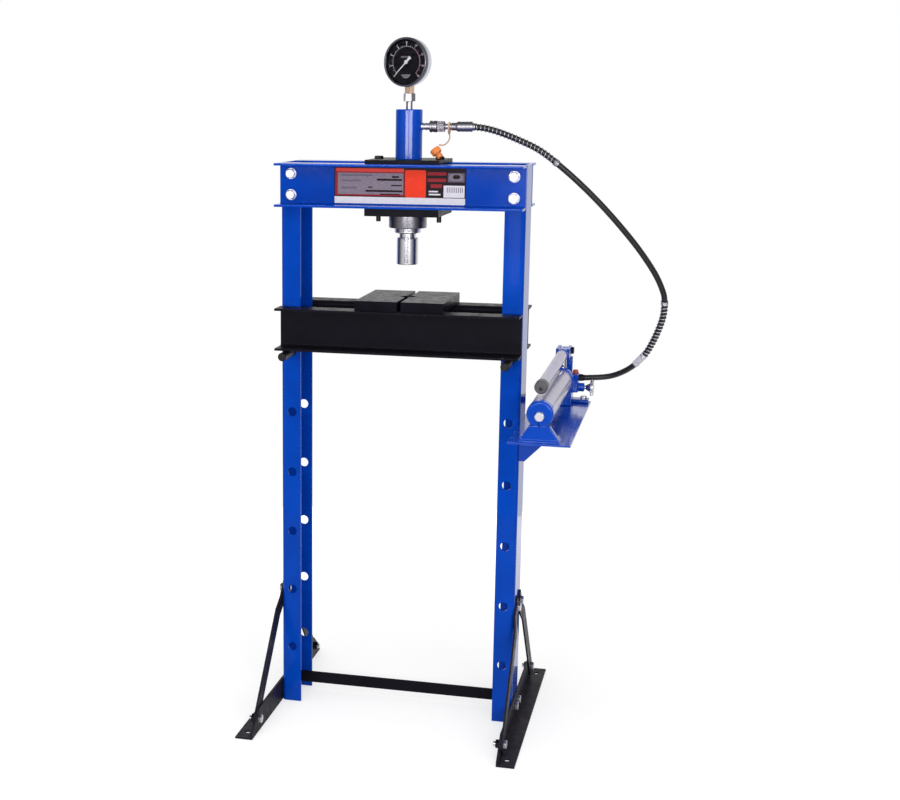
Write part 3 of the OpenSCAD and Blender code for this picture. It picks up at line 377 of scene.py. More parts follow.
def stretched(tree, scale):
    """Object coordinates stretched by a scale for each axis."""
    node = tree.nodes.new("ShaderNodeMapping")
    feed(tree, node, Vector=object_place(tree), Scale=scale)
    return node.outputs["Vector"]


def use_group(tree, name, **values):
    """A group placed in a material, with its own values."""
    node = tree.nodes.new("ShaderNodeGroup")
    node.node_tree = bpy.data.node_groups[name]
    feed(tree, node, **values)
    return node.outputs


def mottled(tree, place, scale, low=0.0, high=1.0):
    """A cloudy value between two limits."""
    return use_group(tree, "Mottling", Place=place, Scale=scale, Low=low, High=high)["Value"]


def make_groups():
    """The effects that the finishes share: worn edges, mottling, paint skin, drawn grain, dust."""
    tree, given, result = new_group("Worn edges", ["Mask"], Width=0.001, Amount=0.5, Patch=60.0)
    rounded = tree.nodes.new("ShaderNodeBevel")
    rounded.samples = 4
    feed(tree, rounded, Radius=given["Width"])
    dot = tree.nodes.new("ShaderNodeVectorMath")
    dot.operation = "DOT_PRODUCT"
    tree.links.new(rounded.outputs["Normal"], dot.inputs[0])
    tree.links.new(surface_normal(tree), dot.inputs[1])
    edge = spread(tree, dot.outputs["Value"], 0.995, 0.93)
    patch = noise(tree, given["Place"], given["Patch"], 4.0, 0.65)
    start = minus(tree, 0.78, times(tree, given["Amount"], 0.5))
    share = spread(tree, patch, start, plus(tree, start, 0.08))
    feed(tree, result, Mask=times(tree, edge, share))

    tree, given, result = new_group("Mottling", ["Value"], Scale=30.0, Low=0.0, High=1.0)
    coarse = noise(tree, given["Place"], given["Scale"], 3.0, 0.55)
    feed(tree, result, Value=spread(tree, coarse, 0.32, 0.68, given["Low"], given["High"]))

    tree, given, result = new_group("Paint skin", ["Height"], Peel=0.00003, Wave=0.00006)
    peel = times(tree, noise(tree, given["Place"], 420.0, 1.0), given["Peel"])
    wave = times(tree, noise(tree, given["Place"], 38.0, 1.0), given["Wave"])
    feed(tree, result, Height=plus(tree, peel, wave))

    tree, given, result = new_group("Drawn grain", ["Height", "Streak"], Depth=0.00001)
    fine = noise(tree, given["Place"], 1.0, 3.0, 0.6)
    height = times(tree, fine, given["Depth"])
    feed(tree, result, Height=height, Streak=spread(tree, fine, 0.35, 0.65))

    tree, given, result = new_group("Settled dust", ["Mask"], Amount=0.2)
    upward = spread(tree, split(tree, surface_normal(tree))["Z"], 0.6, 0.95)
    specks = spread(tree, noise(tree, given["Place"], 55.0, 6.0, 0.7), 0.42, 0.75)
    feed(tree, result, Mask=times(tree, times(tree, upward, specks), given["Amount"]))


def shader(name):
    """A finish's material with a fresh tree, its Principled shader and its place coordinates."""
    material = bpy.data.materials.get(name) or bpy.data.materials.new(name)
    material.use_nodes = True
    tree = material.node_tree
    tree.nodes.clear()
    principled = tree.nodes.new("ShaderNodeBsdfPrincipled")
    feed(tree, tree.nodes.new("ShaderNodeOutputMaterial"), Surface=principled.outputs["BSDF"])
    return tree, principled, object_place(tree)


def raise_surface(tree, principled, height):
    """A height in metres that bends the shader's normal."""
    bump = tree.nodes.new("ShaderNodeBump")
    feed(tree, bump, Strength=1.0, Distance=1.0, Height=height)
    feed(tree, principled, Normal=bump.outputs["Normal"])


def shade_of(colour, factor):
    """A colour made lighter or darker."""
    return (*(min(c * factor, 1.0) for c in colour[:3]), 1.0)


def painted(name, colour, worn, gloss, wear, dust=0.15, peel=0.00003, wave=0.00006, specular=0.5):
    """A sprayed paint: mottled, with an uneven skin, dust on top and bare patches at its edges."""
    tree, principled, place = shader(name)
    cloud = mottled(tree, place, 14.0)
    skin = blend_colours(tree, cloud, shade_of(colour, 0.9), shade_of(colour, 1.1))
    grey = use_group(tree, "Settled dust", Place=place, Amount=dust)["Mask"]
    dusted = blend_colours(tree, grey, skin, (0.42, 0.42, 0.42, 1.0))
    edge = use_group(tree, "Worn edges", Place=place, Width=0.0012, Amount=wear, Patch=90.0)["Mask"]
    patches = mottled(tree, place, 65.0, gloss * 0.8, gloss * 1.25)
    rough = plus(tree, patches, times(tree, edge, 0.25))
    feed(
        tree, principled, Base_Color=blend_colours(tree, edge, dusted, worn),
        Roughness=plus(tree, rough, times(tree, grey, 0.3)), Specular_IOR_Level=specular,
    )
    height = use_group(tree, "Paint skin", Place=place, Peel=peel, Wave=wave)["Height"]
    raise_surface(tree, principled, height)


def metal(name, colour, gloss, grain=(900.0,) * 3, depth=0.000006, stain=0.25, shade=0.8):
    """Bare or plated metal: a drawn or turned grain, and patches that are duller and darker."""
    tree, principled, place = shader(name)
    lines = use_group(tree, "Drawn grain", Place=stretched(tree, grain), Depth=depth)
    patch = mottled(tree, place, 48.0, 0.0, stain)
    dark = plus(tree, patch, times(tree, lines["Streak"], 0.3), clamp=True)
    rough = plus(tree, gloss, times(tree, patch, 0.35))
    feed(
        tree, principled, Base_Color=blend_colours(tree, dark, colour, shade_of(colour, shade)),
        Roughness=plus(tree, rough, times(tree, lines["Streak"], 0.08)), Metallic=1.0,
    )
    raise_surface(tree, principled, lines["Height"])


def moulded(name, colour, gloss, grain=600.0, depth=0.00002, wear=0.0):
    """Plastic or rubber: a fine grain, uneven gloss and rubbed patches."""
    tree, principled, place = shader(name)
    cloud = mottled(tree, place, 90.0)
    skin = blend_colours(tree, cloud, shade_of(colour, 0.88), shade_of(colour, 1.1))
    grey = use_group(tree, "Settled dust", Place=place, Amount=0.12)["Mask"]
    skin = blend_colours(tree, grey, skin, (0.4, 0.4, 0.4, 1.0))
    if wear:
        worn = use_group(tree, "Worn edges", Place=place, Width=0.0008, Amount=wear, Patch=140.0)
        skin = blend_colours(tree, worn["Mask"], skin, shade_of(colour, 2.2))
    patches = mottled(tree, place, 210.0, gloss * 0.85, gloss * 1.15)
    feed(tree, principled, Base_Color=skin, Roughness=patches)
    raise_surface(tree, principled, times(tree, noise(tree, place, grain, 2.0), depth))


# ---- finishes of the press


def finish_paints(colours):
    """Blue, black, silver and gauge paints, and the printed colours of the dial."""
    deep_blue = (0.010, 0.022, 0.085, 1.0)
    steel = (0.30, 0.30, 0.32, 1.0)
    blue, black = colours.blue_paint, colours.black_paint
    painted("blue_paint", blue, deep_blue, 0.085, 0.2, 0.06, 0.000012, 0.00005, 0.10)
    painted("blue_casting", blue, deep_blue, 0.13, 0.2, 0.06, 0.00003, 0.0002, 0.4)
    painted("blue_gloss", blue, deep_blue, 0.06, 0.2, 0.04, 0.000006, 0.00002, 0.25)
    painted("blue_shelf", blue, deep_blue, 0.13, 0.2, 0.05, 0.00001, 0.00015, 1.0)
    painted("black_paint", black, steel, 0.36, 0.34, 0.015, specular=0.06)
    painted("black_strap", colours.black_strap, steel, 0.4, 0.3, 0.04, specular=0.06)
    painted("black_plate", black, steel, 0.26, 0.25, 0.006, 0.0, 0.00001, 0.03)
    painted("silver_cuff", (0.55, 0.54, 0.60, 1.0), (0.3, 0.3, 0.3, 1.0), 0.3, 0.2)
    worn_grey = (0.2, 0.2, 0.2, 1.0)
    painted("dial_pink", (0.36, 0.21, 0.28, 1.0), (0.4, 0.3, 0.3, 1.0), 0.5, 0.1, 0.0, 0.0, 0.00001)
    painted("dial_grey", (0.24, 0.23, 0.26, 1.0), worn_grey, 0.5, 0.1, 0.0, 0.0, 0.00001)
    painted(
        "silver_paint", colours.silver_paint, (0.2, 0.2, 0.21, 1.0), 0.2, 0.0, 0.05,
        0.000002, 0.00001,
    )
    dark_grey = (0.1, 0.1, 0.1, 1.0)
    painted("gauge_black", colours.gauge_black, dark_grey, 0.35, 0.1, 0.03, 0.0, 0.00001, 0.1)
    painted(
        "pointer_white", (0.83, 0.82, 0.84, 1.0), (0.4, 0.4, 0.4, 1.0), 0.45, 0.1, 0.05,
        0.0, 0.00001,
    )


def finish_metals(colours):
    """Plated, blackened, ground, chromed and brass metal."""
    fine, turned_grain, knurled = (300.0,) * 3, (12.0, 12.0, 420.0), (10.0, 10.0, 500.0)
    metal("zinc_steel", colours.zinc_steel, 0.32, fine, 0.000002, 0.2)
    metal("dark_steel", (0.036, 0.035, 0.039, 1.0), 0.36, stain=0.3)
    metal("bright_steel", colours.bright_steel, 0.15, turned_grain, 0.0000015, 0.1)
    metal("chrome", (0.66, 0.65, 0.68, 1.0), 0.2, stain=0.12, shade=0.9)
    metal("guard_steel", (0.78, 0.77, 0.80, 1.0), 0.3, depth=0.000002, stain=0.2)
    metal("case_steel", (0.66, 0.66, 0.72, 1.0), 0.16, depth=0.000001, stain=0.15)
    metal("bezel_steel", (0.16, 0.17, 0.20, 1.0), 0.24, depth=0.000001, stain=0.15)
    metal("nut_steel", (0.22, 0.21, 0.24, 1.0), 0.22, knurled, 0.0000015, 0.2)
    metal("ferrule_steel", (0.50, 0.48, 0.52, 1.0), 0.3, depth=0.000002, stain=0.15)
    metal("black_bolt", (0.03, 0.03, 0.035, 1.0), 0.3, stain=0.3)
    metal("brass", (0.80, 0.56, 0.42, 1.0), 0.3, depth=0.000002, stain=0.2)


def finish_rubber_and_plastic(colours):
    """Hose rubber, coloured plastic and the tether."""
    moulded("hose_rubber", colours.hose_rubber, 0.38, grain=700.0, depth=0.00005)
    moulded("orange_plastic", colours.orange_plastic, 0.35, wear=0.3)
    moulded("orange_red_plastic", (0.42, 0.07, 0.04, 1.0), 0.35, wear=0.2)
    moulded("tether_plastic", colours.tether_plastic, 0.45)
    moulded("grey_plastic", (0.085, 0.083, 0.095, 1.0), 0.42, wear=0.2)


def finish_lens():
    """Clear flat glass, faintly smeared."""
    tree, principled, place = shader("clear_glass")
    feed(
        tree, principled, Base_Color=(1.0, 1.0, 1.0, 1.0), Transmission_Weight=1.0, Metallic=0.0,
        IOR=1.1, Roughness=mottled(tree, place, 60.0, 0.0, 0.05),
    )
    raise_surface(tree, principled, times(tree, noise(tree, place, 30.0, 1.0), 0.00001))


LABEL_INKS = {
    "label_red": (0.80, 0.07, 0.055, 1.0),
    "label_maroon": (0.33, 0.025, 0.035, 1.0),
    "label_orange": (0.97, 0.055, 0.022, 1.0),
    "label_grey": (0.27, 0.225, 0.28, 1.0),
    "label_dark": (0.020, 0.012, 0.016, 1.0),
    "label_white": (0.80, 0.78, 0.82, 1.0),
    "label_mid": (0.16, 0.13, 0.18, 1.0),
}


def finish_label_inks():
    """Plain printed films of the sticker's colour fields. The grey one is finely speckled."""
    for name, colour in LABEL_INKS.items():
        tree, principled, place = shader(name)
        scale, dark, light = (900.0, 0.35, 1.5) if name == "label_grey" else (120.0, 0.95, 1.03)
        cloud = mottled(tree, place, scale)
        ink = blend_colours(tree, cloud, shade_of(colour, dark), shade_of(colour, light))
        gloss = mottled(tree, place, 40.0, 0.22, 0.34)
        feed(tree, principled, Base_Color=ink, Roughness=gloss, Specular_IOR_Level=0.04)
        raise_surface(tree, principled, times(tree, noise(tree, place, 90.0, 1.0), 0.00006))


# ---- camera, floor and light


def light_paths(tree):
    """One where the camera, a reflection or clear glass looks at the surface, and all paths."""
    path = tree.nodes.new("ShaderNodeLightPath").outputs
    seen = reckon(tree, "MAXIMUM", path["Is Camera Ray"], path["Is Glossy Ray"])
    return reckon(tree, "MAXIMUM", seen, path["Is Transmission Ray"]), path


def make_camera():
    """Puts the camera at its place, with its turn, lens and shift."""
    yaw, pitch, roll = CAMERA_YAW, CAMERA_PITCH, CAMERA_ROLL
    right = Vector((math.cos(yaw), math.sin(yaw), 0))
    level = math.cos(pitch)
    ahead = Vector((-math.sin(yaw) * level, math.cos(yaw) * level, -math.sin(pitch)))
    up = right.cross(ahead)
    rolled_right = right * math.cos(roll) + up * math.sin(roll)
    rolled_up = up * math.cos(roll) - right * math.sin(roll)
    lens = bpy.data.cameras.new("Camera")
    lens.lens = CAMERA_LENS
    lens.sensor_width = CAMERA_SENSOR
    lens.sensor_fit = "HORIZONTAL"
    lens.shift_x, lens.shift_y = CAMERA_SHIFT
    camera = added("Camera", lens)
    turn = Matrix((rolled_right, rolled_up, -ahead)).transposed().to_4x4()
    camera.matrix_world = Matrix.Translation(Vector(CAMERA_PLACE) * MM) @ turn
    bpy.context.scene.camera = camera


# The studio's white as reflections see it: two places along an axis, and the share at each.
# Behind the object, on the camera's side, straight behind the camera, and overhead
FAR_SIDE = (0.25, 0.8, 0.16, 1.0)
NEAR_SIDE = (-0.8, -0.3, 0.75, 0.16)
STRAIGHT_BACK = (-0.95, -0.85, 0.18, 1.0)
OVERHEAD = (0.25, 0.75, 1.0, 0.3)

# Share of the world's white that lights the object
WORLD_LIGHT = 0.55


def make_world():
    """A white studio, which reflections see dimmer on the camera's side and overhead."""
    scene = bpy.context.scene
    scene.view_settings.view_transform = "Standard"
    world = bpy.data.worlds.new("Studio")
    world.use_nodes = True
    scene.world = world
    tree = world.node_tree
    way = split(tree, tree.nodes.new("ShaderNodeTexCoord").outputs["Generated"])
    far_side = spread(tree, way["Y"], *FAR_SIDE)
    near_side = spread(tree, way["Y"], *NEAR_SIDE)
    back = spread(tree, way["Y"], *STRAIGHT_BACK)
    level = reckon(tree, "MAXIMUM", far_side, reckon(tree, "MINIMUM", near_side, back))
    room = times(tree, level, spread(tree, way["Z"], *OVERHEAD))
    seen, path = light_paths(tree)
    glossy = times(tree, path["Is Glossy Ray"], minus(tree, 1.0, room))
    hidden = times(tree, minus(tree, 1.0, seen), WORLD_LIGHT)
    strength = plus(tree, minus(tree, seen, glossy), hidden)
    feed(tree, tree.nodes["Background"], Color=(1.0, 1.0, 1.0, 1.0), Strength=strength)


# The floor in metres, how its glow grows outwards, and how reflections see it from front to rear
FLOOR_RADIUS = 1.7
FLOOR_DROP = 0.0006
FLOOR_GLOW = (0.6, 1.5, 0.6, 1.1)
FLOOR_DIMMED = (-0.5, 0.3, 0.9, 0.0)


def make_floor():
    """A round pale floor that keeps the press's soft shadow."""
    bm = bmesh.new()
    bmesh.ops.create_circle(bm, cap_ends=True, segments=96, radius=FLOOR_RADIUS)
    bmesh.ops.translate(bm, vec=(0, 0, -FLOOR_DROP), verts=bm.verts)
    mesh = as_mesh(bm, "Floor")
    floor = added("Floor", mesh)
    material = bpy.data.materials.new("Studio floor")
    material.use_nodes = True
    tree = material.node_tree
    seen, path = light_paths(tree)
    reach = tree.nodes.new("ShaderNodeVectorMath")
    reach.operation = "LENGTH"
    tree.links.new(object_place(tree), reach.inputs[0])
    fade = spread(tree, reach.outputs["Value"], *FLOOR_GLOW)
    dim = spread(tree, split(tree, object_place(tree))["Y"], *FLOOR_DIMMED)
    shown = minus(tree, 1.0, times(tree, path["Is Glossy Ray"], dim))
    feed(
        tree, tree.nodes["Principled BSDF"], Base_Color=(0.5, 0.5, 0.5, 1.0), Roughness=0.9,
        Specular_IOR_Level=0.1, Emission_Color=(1.0, 1.0, 1.0, 1.0),
        Emission_Strength=times(tree, times(tree, seen, fade), shown),
    )
    mesh.materials.append(material)


# Where the soft lamps aim: the middle of the press, in metres
LAMP_AIM = (0.03, 0.0, 0.75)

# Name, azimuth in degrees, height and distance, width and height (metres), power in watts,
# and whether it is mirrored in the press. Azimuth 0 is in front of it
SOFTBOXES = [
    ("Wide softbox", 20.0, 2.3, 3.9, (5.0, 2.2), 41.0, True),
    ("Left strip", -6.0, 1.215, 3.5, (1.6, 0.24), 23.0, True),
    ("Corner strip", -2.6, 0.85, 3.5, (0.22, 0.6), 1.1, True),
    ("Right strip", 25.0, 1.215, 3.5, (1.8, 0.24), 25.0, True),
    ("Top softbox", 0.0, 3.4, 0.3, (2.2, 2.2), 30.0, False),
]


def add_softbox(name, azimuth, height, distance, size, power, mirrored):
    """A rectangular soft lamp turned to the middle of the press."""
    lamp = bpy.data.lights.new(name, "AREA")
    lamp.shape = "RECTANGLE"
    lamp.size, lamp.size_y = size
    lamp.energy = power
    turn = math.radians(azimuth)
    place = Vector((math.sin(turn) * distance, -math.cos(turn) * distance, height))
    facing = (place - Vector(LAMP_AIM)).to_track_quat("Z", "Y").to_matrix().to_4x4()
    holder = added(name, lamp)
    holder.visible_glossy = mirrored
    holder.matrix_world = Matrix.Translation(place) @ facing


# ---- hose and its pieces


# Sides of the hose and of its guards' wire, and points from one place of the route to the next
HOSE_SIDES = 20
WIRE_SIDES = 8
ROUTE_STEPS = 6

# Where the guards end, measured from the routes' places, and the lower ferrule's length
UPPER_GUARD_END = -6
LOWER_GUARD_END = 8
LOWER_FERRULE_LENGTH = 34.0


def hose_route():
    """The hose's whole line in millimetres, from the coupler to the pump."""
    guarded = [*UPPER_GUARD_ROUTE, *OPEN_ROUTE, *LOWER_GUARD_ROUTE]
    return along([HOSE_START, *guarded, *TAIL_ROUTE], ROUTE_STEPS)


def distance_at(line, point):
    """How far along a line its nearest point to a place lies."""
    nearest = min(range(len(line)), key=lambda i: (line[i] - Vector(point)).length)
    return line_length(line[: nearest + 1])


# Points in one turn of a guard's wire, and the room of a close turn, in thicknesses of the wire
TURN_STEPS = 14
CLOSE_TURN = 1.04


def guard_wire(line, inner, wire, pitch, close_turns_start, close_turns_end):
    """A spring's wire round a line: open turns, with close turns at its ends."""
    total = line_length(line)
    spots = [0.0]
    turn = 0.0
    while spots[-1] < total:
        done = spots[-1]
        near_start = turn < close_turns_start
        near_end = total - done < close_turns_end * wire * CLOSE_TURN
        spots.append(done + (wire * CLOSE_TURN if near_start or near_end else pitch) / TURN_STEPS)
        turn += 1.0 / TURN_STEPS
    spots[-1] = total
    frames = carried_frames(line)
    reach = [0.0]
    for a, b in zip(line, line[1:]):
        reach.append(reach[-1] + (b - a).length)
    path = []
    index = 0
    for number, spot in enumerate(spots):
        while index < len(reach) - 2 and reach[index + 1] < spot:
            index += 1
        share = min((spot - reach[index]) / (reach[index + 1] - reach[index]), 1.0)
        point, side, cross = (a.lerp(b, share) for a, b in zip(frames[index], frames[index + 1]))
        angle = math.tau * number / TURN_STEPS
        path.append(point + (side * math.cos(angle) + cross * math.sin(angle)) * (inner + wire) / 2)
    return path


def build_hose(sizes):
    """The rubber hose as a tube along its route, and its two spring guards."""
    route = hose_route()
    tube = tube_shape(route, sizes.hose_d, HOSE_SIDES)
    hose = put(tube, "hose.tube", "hose_rubber", "hose", sharp=60.0)
    upper_end = distance_at(route, OPEN_ROUTE[0]) + UPPER_GUARD_END
    lower_start = distance_at(route, OPEN_ROUTE[-1])
    lower_end = distance_at(route, LOWER_GUARD_ROUTE[-1]) + LOWER_GUARD_END
    spring = (sizes.hose_d, sizes.guard_wire, sizes.guard_pitch)
    upper = guard_wire(part_of(route, 0, upper_end), *spring, 3, 4)
    lower = guard_wire(part_of(route, lower_start, lower_end), *spring, 4, 3)
    wires = joined(*(tube_shape(line, sizes.guard_wire, WIRE_SIDES) for line in (upper, lower)))
    guards = put(wires, "hose.guards", "guard_steel", "hose_guards", sharp=60.0)


# ---- frame steel and the sticker


def build_frame_steel(sizes):
    """Columns, beams, clamp plates, feet, braces and the tie bar, with eased edges."""
    beams = ("head_beam_front", "head_beam_rear")
    eased("blue_paint", sizes.sheet_ease, "left_column", "right_column", *beams)
    eased("black_paint", sizes.plate_ease, "top_plate", "bottom_plate")
    eased("black_strap", sizes.sheet_ease, "left_foot", "right_foot", "braces")
    eased("black_paint", sizes.sheet_ease, "tie_bar")


def build_bolts(sizes):
    """Bolts and nuts of the frame, with eased corners."""
    bright = ("head_bolts", "foot_bolts", "head_nuts", "pump_mount_bolts")
    dark = ("foot_nuts", "clamp_bolts", "shelf_bolts", "shelf_nuts")
    eased("zinc_steel", sizes.bolt_ease, *bright)
    eased("dark_steel", sizes.bolt_ease, *dark)


def film(corners, y, thickness):
    """A thin printed field facing the front, from (x, z) corners in order."""
    bm = bmesh.new()
    face = bm.faces.new([bm.verts.new((x, y, z)) for x, z in corners])
    pulled = bmesh.ops.extrude_face_region(bm, geom=[face])["geom"]
    front = [part for part in pulled if isinstance(part, bmesh.types.BMVert)]
    bmesh.ops.translate(bm, vec=(0, -thickness, 0), verts=front)
    bmesh.ops.recalc_face_normals(bm, faces=bm.faces)
    return bm


def rounded_field(x0, z0, x1, z1, radius, steps=5):
    """Corners of a rectangle with round ends, in (x, z) order."""
    corners = []
    for cx, cz, start in (
        (x1 - radius, z1 - radius, 0),
        (x0 + radius, z1 - radius, 90),
        (x0 + radius, z0 + radius, 180),
        (x1 - radius, z0 + radius, 270),
    ):
        for step in range(steps + 1):
            angle = math.radians(start + 90 * step / steps)
            corners.append((cx + radius * math.cos(angle), cz + radius * math.sin(angle)))
    return corners


def field(x0, z0, x1, z1):
    """Corners of a plain rectangle, in (x, z) order."""
    return [(x0, z0), (x1, z0), (x1, z1), (x0, z1)]


# Fields of the sticker on the front head beam: ink, layer and corners, all in millimetres
STICKER_FIELDS = [
    ("label_dark", 0, field(-141.5, 1112.5, 136.5, 1194.0)),
    ("label_maroon", 1, field(-139.0, 1133.5, 7.5, 1190.5)),
    ("label_red", 2, field(-137.0, 1183.0, 6.5, 1189.5)),
    ("label_grey", 2, field(-133.5, 1136.5, 5.5, 1180.5)),
    ("label_orange", 1, rounded_field(9.0, 1131.5, 53.0, 1187.5, 4.0)),
    (
        "label_white", 1,
        [(-140.5, 1114.0), (126.0, 1114.0), (135.0, 1119.0), (135.0, 1131.0), (-140.5, 1131.5)],
    ),
    ("label_mid", 1, field(98.5, 1164.0, 133.0, 1182.5)),
    ("label_grey", 2, rounded_field(101.0, 1167.0, 130.5, 1181.0, 6.5)),
    ("label_dark", 3, rounded_field(109.0, 1170.5, 124.0, 1178.5, 3.5)),
    ("label_white", 2, field(90.0, 1132.5, 133.5, 1157.0)),
    ("label_maroon", 1, field(56.0, 1177.3, 95.3, 1184.0)),
    ("label_maroon", 1, field(56.3, 1164.0, 94.7, 1171.0)),
    ("label_maroon", 1, field(62.8, 1152.0, 86.6, 1159.4)),
    ("label_white", 1, field(59.2, 1143.0, 78.5, 1145.9)),
    ("label_white", 1, field(59.3, 1136.8, 83.6, 1140.0)),
    ("label_mid", 3, field(-126.0, 1174.0, -60.0, 1177.0)),
    ("label_mid", 3, field(-126.0, 1163.0, -84.0, 1166.0)),
    ("label_mid", 3, field(-126.0, 1148.0, -92.0, 1151.5)),
    ("label_dark", 3, field(-50.0, 1164.9, 2.8, 1169.1)),
    ("label_dark", 3, field(-18.4, 1171.0, -3.6, 1174.8)),
    ("label_dark", 3, field(-20.3, 1154.3, 2.9, 1156.8)),
    ("label_dark", 3, field(-69.1, 1150.0, -59.7, 1152.7)),
    ("label_dark", 3, field(-74.0, 1141.7, 3.9, 1145.7)),
    ("label_dark", 3, field(-43.4, 1136.0, -1.0, 1138.4)),
]

# Distance from one layer of the sticker to the next, and a field's thickness
LAYER_STEP = 0.12
FIELD_THICKNESS = 0.15

# The sticker's row of upright bars: left sides, width, lower and upper end, depth and thickness
BAR_SIDES = [97.0 + 3.9 * i for i in range(9)]
BAR_WIDTH = 1.5
BAR_ENDS = (1142.6, 1153.4)
BAR_DEPTH = 0.36
BAR_THICKNESS = 0.1


def build_sticker(sizes):
    """The sticker on the head beam, as plain colour fields without any words."""
    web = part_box("head_beam_front")[1].y / MM - sizes.sheet_t
    inks = {}
    for ink, layer, corners in STICKER_FIELDS:
        shape = film(corners, web - LAYER_STEP * layer, FIELD_THICKNESS)
        inks.setdefault(ink, []).append(shape)
    for x in BAR_SIDES:
        bar = field(x, BAR_ENDS[0], x + BAR_WIDTH, BAR_ENDS[1])
        inks["label_mid"].append(film(bar, web - BAR_DEPTH, BAR_THICKNESS))
    for ink, films in inks.items():
        put(joined(*films), "sticker." + ink.split("_")[1], ink, sharp=20.0)


# ---- cylinder, ram and gauge


def build_cylinder(sizes):
    """The barrel with its bare lower end, the ring nut under the head, and the gland."""
    low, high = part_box("cylinder_barrel")
    place = Matrix.Translation(((low.x + high.x) / 2 / MM, 0, 0))
    foot, top = low.z / MM, high.z / MM
    outer = (high.x - low.x) / 2 / MM
    bore = sizes.bore_d / 2
    nut_low, nut_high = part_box("cylinder_collar")
    line = nut_high.z / MM
    barrel = turned(
        (0, top - 0.4), (7.2, top - 0.4), (7.8, top), (outer - 2.4, top), (outer - 1.0, top - 0.5),
        (outer - 0.3, top - 1.2), (outer, top - 2.2), (outer, line), (outer - 0.5, line),
        (0, line), steps=72,
    )
    put(moved(barrel, place), "cylinder.barrel", "blue_gloss", "cylinder_barrel")
    crest, root, z = outer - 0.05, outer - 0.9, line - 1.0
    thread = [(crest, z)]
    while z > foot + 4.0:
        thread += [(crest, z - 0.5), (root, z - 1.0), (crest, z - 1.5)]
        z -= 1.5
    thread += [
        (crest, foot + 1.6), (outer - 1.6, foot), (bore + 0.8, foot), (bore, foot + 0.8),
        (bore, line - 1.0),
    ]
    lower_end = moved(turned(*thread, steps=72, ring=True), place)
    put(lower_end, "cylinder.lower_end", "bright_steel", "cylinder_barrel")
    half = (nut_high.x - nut_low.x) / 2 / MM
    nut_foot = nut_low.z / MM
    nut = turned(
        (outer + 0.1, nut_foot + 0.8), (outer + 1.0, nut_foot), (half - 2.0, nut_foot),
        (half - 0.6, nut_foot + 0.6), (half, nut_foot + 2.0), (half, line - 1.4),
        (half - 0.4, line - 0.5), (half - 1.2, line), (outer + 0.1, line), steps=72, ring=True,
    )
    put(moved(nut, place), "cylinder.ring_nut", "nut_steel", "cylinder_collar")
    eased("bright_steel", 0.5, "cylinder_gland")


def build_ram(sizes):
    """The ram's plunger and its nose, turned from bright steel."""
    eased("bright_steel", 0.4, "ram_plunger", body="ram")
    low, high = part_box("ram_nose")
    place = Matrix.Translation(((low.x + high.x) / 2 / MM, 0, 0))
    foot, end = low.z / MM, high.z / MM
    radius = (high.x - low.x) / 2 / MM
    top = foot + sizes.nose_l
    stud = sizes.nose_stud_d / 2
    nose = turned(
        (0, foot), (radius - 2.2, foot), (radius - 0.7, foot + 0.5), (radius, foot + 1.8),
        (radius, top - 3.0), (radius - 0.6, top - 2.4), (radius - 0.6, top - 1.6),
        (radius - 0.2, top - 1.2), (radius - 1.4, top), (stud, top), (stud, end - 1.0),
        (stud - 1.0, end), (0, end), steps=72,
    )
    put(moved(nose, place), "ram.nose", "bright_steel", "ram_nose", body="ram")
    dress("return_spring", "dark_steel")
    dress("ram_seal", "hose_rubber")


# The gauge's middle, its turn to the right, and the dial's face in front of the middle
GAUGE_AXIS = (5.0, 0.0, 1405.0)
GAUGE_TURN = 17.0
DIAL_Y = -15.0

# The dial's ring, and its scale: clock angle of zero, whole angle, share before the pink part,
# number of divisions, and divisions from one number to the next
ARC_RADIUS = 31.3
ARC_WIDTH = 1.0
POINTER_ZERO = 225.0
SCALE_SWEEP = 270.0
GREY_SHARE = 0.62
DIVISIONS = 32
NUMBERED = 4

# Marks of the scale: every which division has one, its reach outside the ring and its width
MARKS = ((NUMBERED, 5.5, 1.2), (2, 3.2, 0.6), (1, 1.8, 0.6))

# Height of the numbers, their distance outside the ring, and the thickness of the dial's print
FIGURE_HEIGHT = 6.2
FIGURE_REACH = 8.2
DIAL_FILM = 0.12


def in_gauge(bm):
    """Carries a shape from the gauge's own axis to its place in the press."""
    turn = Matrix.Rotation(math.radians(-GAUGE_TURN), 4, "Z")
    return moved(bm, Matrix.Translation(GAUGE_AXIS) @ turn)


def on_dial(radius, clock):
    """A place on the dial: distance from the middle, and degrees clockwise from the top."""
    turn = math.radians(clock)
    return radius * math.sin(turn), radius * math.cos(turn)


def printed(corners):
    """A thin film on the dial's face."""
    return film(corners, DIAL_Y, DIAL_FILM)


def scale_mark(clock, reach, width):
    """A straight mark from the dial's ring outwards."""
    turn = math.radians(clock)
    across = (math.cos(turn) * width / 2, -math.sin(turn) * width / 2)
    a, b = on_dial(ARC_RADIUS, clock), on_dial(ARC_RADIUS + reach, clock)
    return printed(
        [
            (a[0] - across[0], a[1] - across[1]), (a[0] + across[0], a[1] + across[1]),
            (b[0] + across[0], b[1] + across[1]), (b[0] - across[0], b[1] - across[1]),
        ]
    )


def scale_arc(start, end, steps):
    """Thin films of a stretch of the dial's ring, between two clock angles."""
    inner, outer = ARC_RADIUS - ARC_WIDTH / 2, ARC_RADIUS + ARC_WIDTH / 2
    films = []
    for step in range(steps):
        a = start + (end - start) * step / steps
        b = start + (end - start) * (step + 1) / steps
        corners = ((inner, a), (inner, b), (outer, b), (outer, a))
        films.append(printed([on_dial(*corner) for corner in corners]))
    return films


def clock_of(division):
    """The clock angle of a division of the scale."""
    return POINTER_ZERO + SCALE_SWEEP * division / DIVISIONS


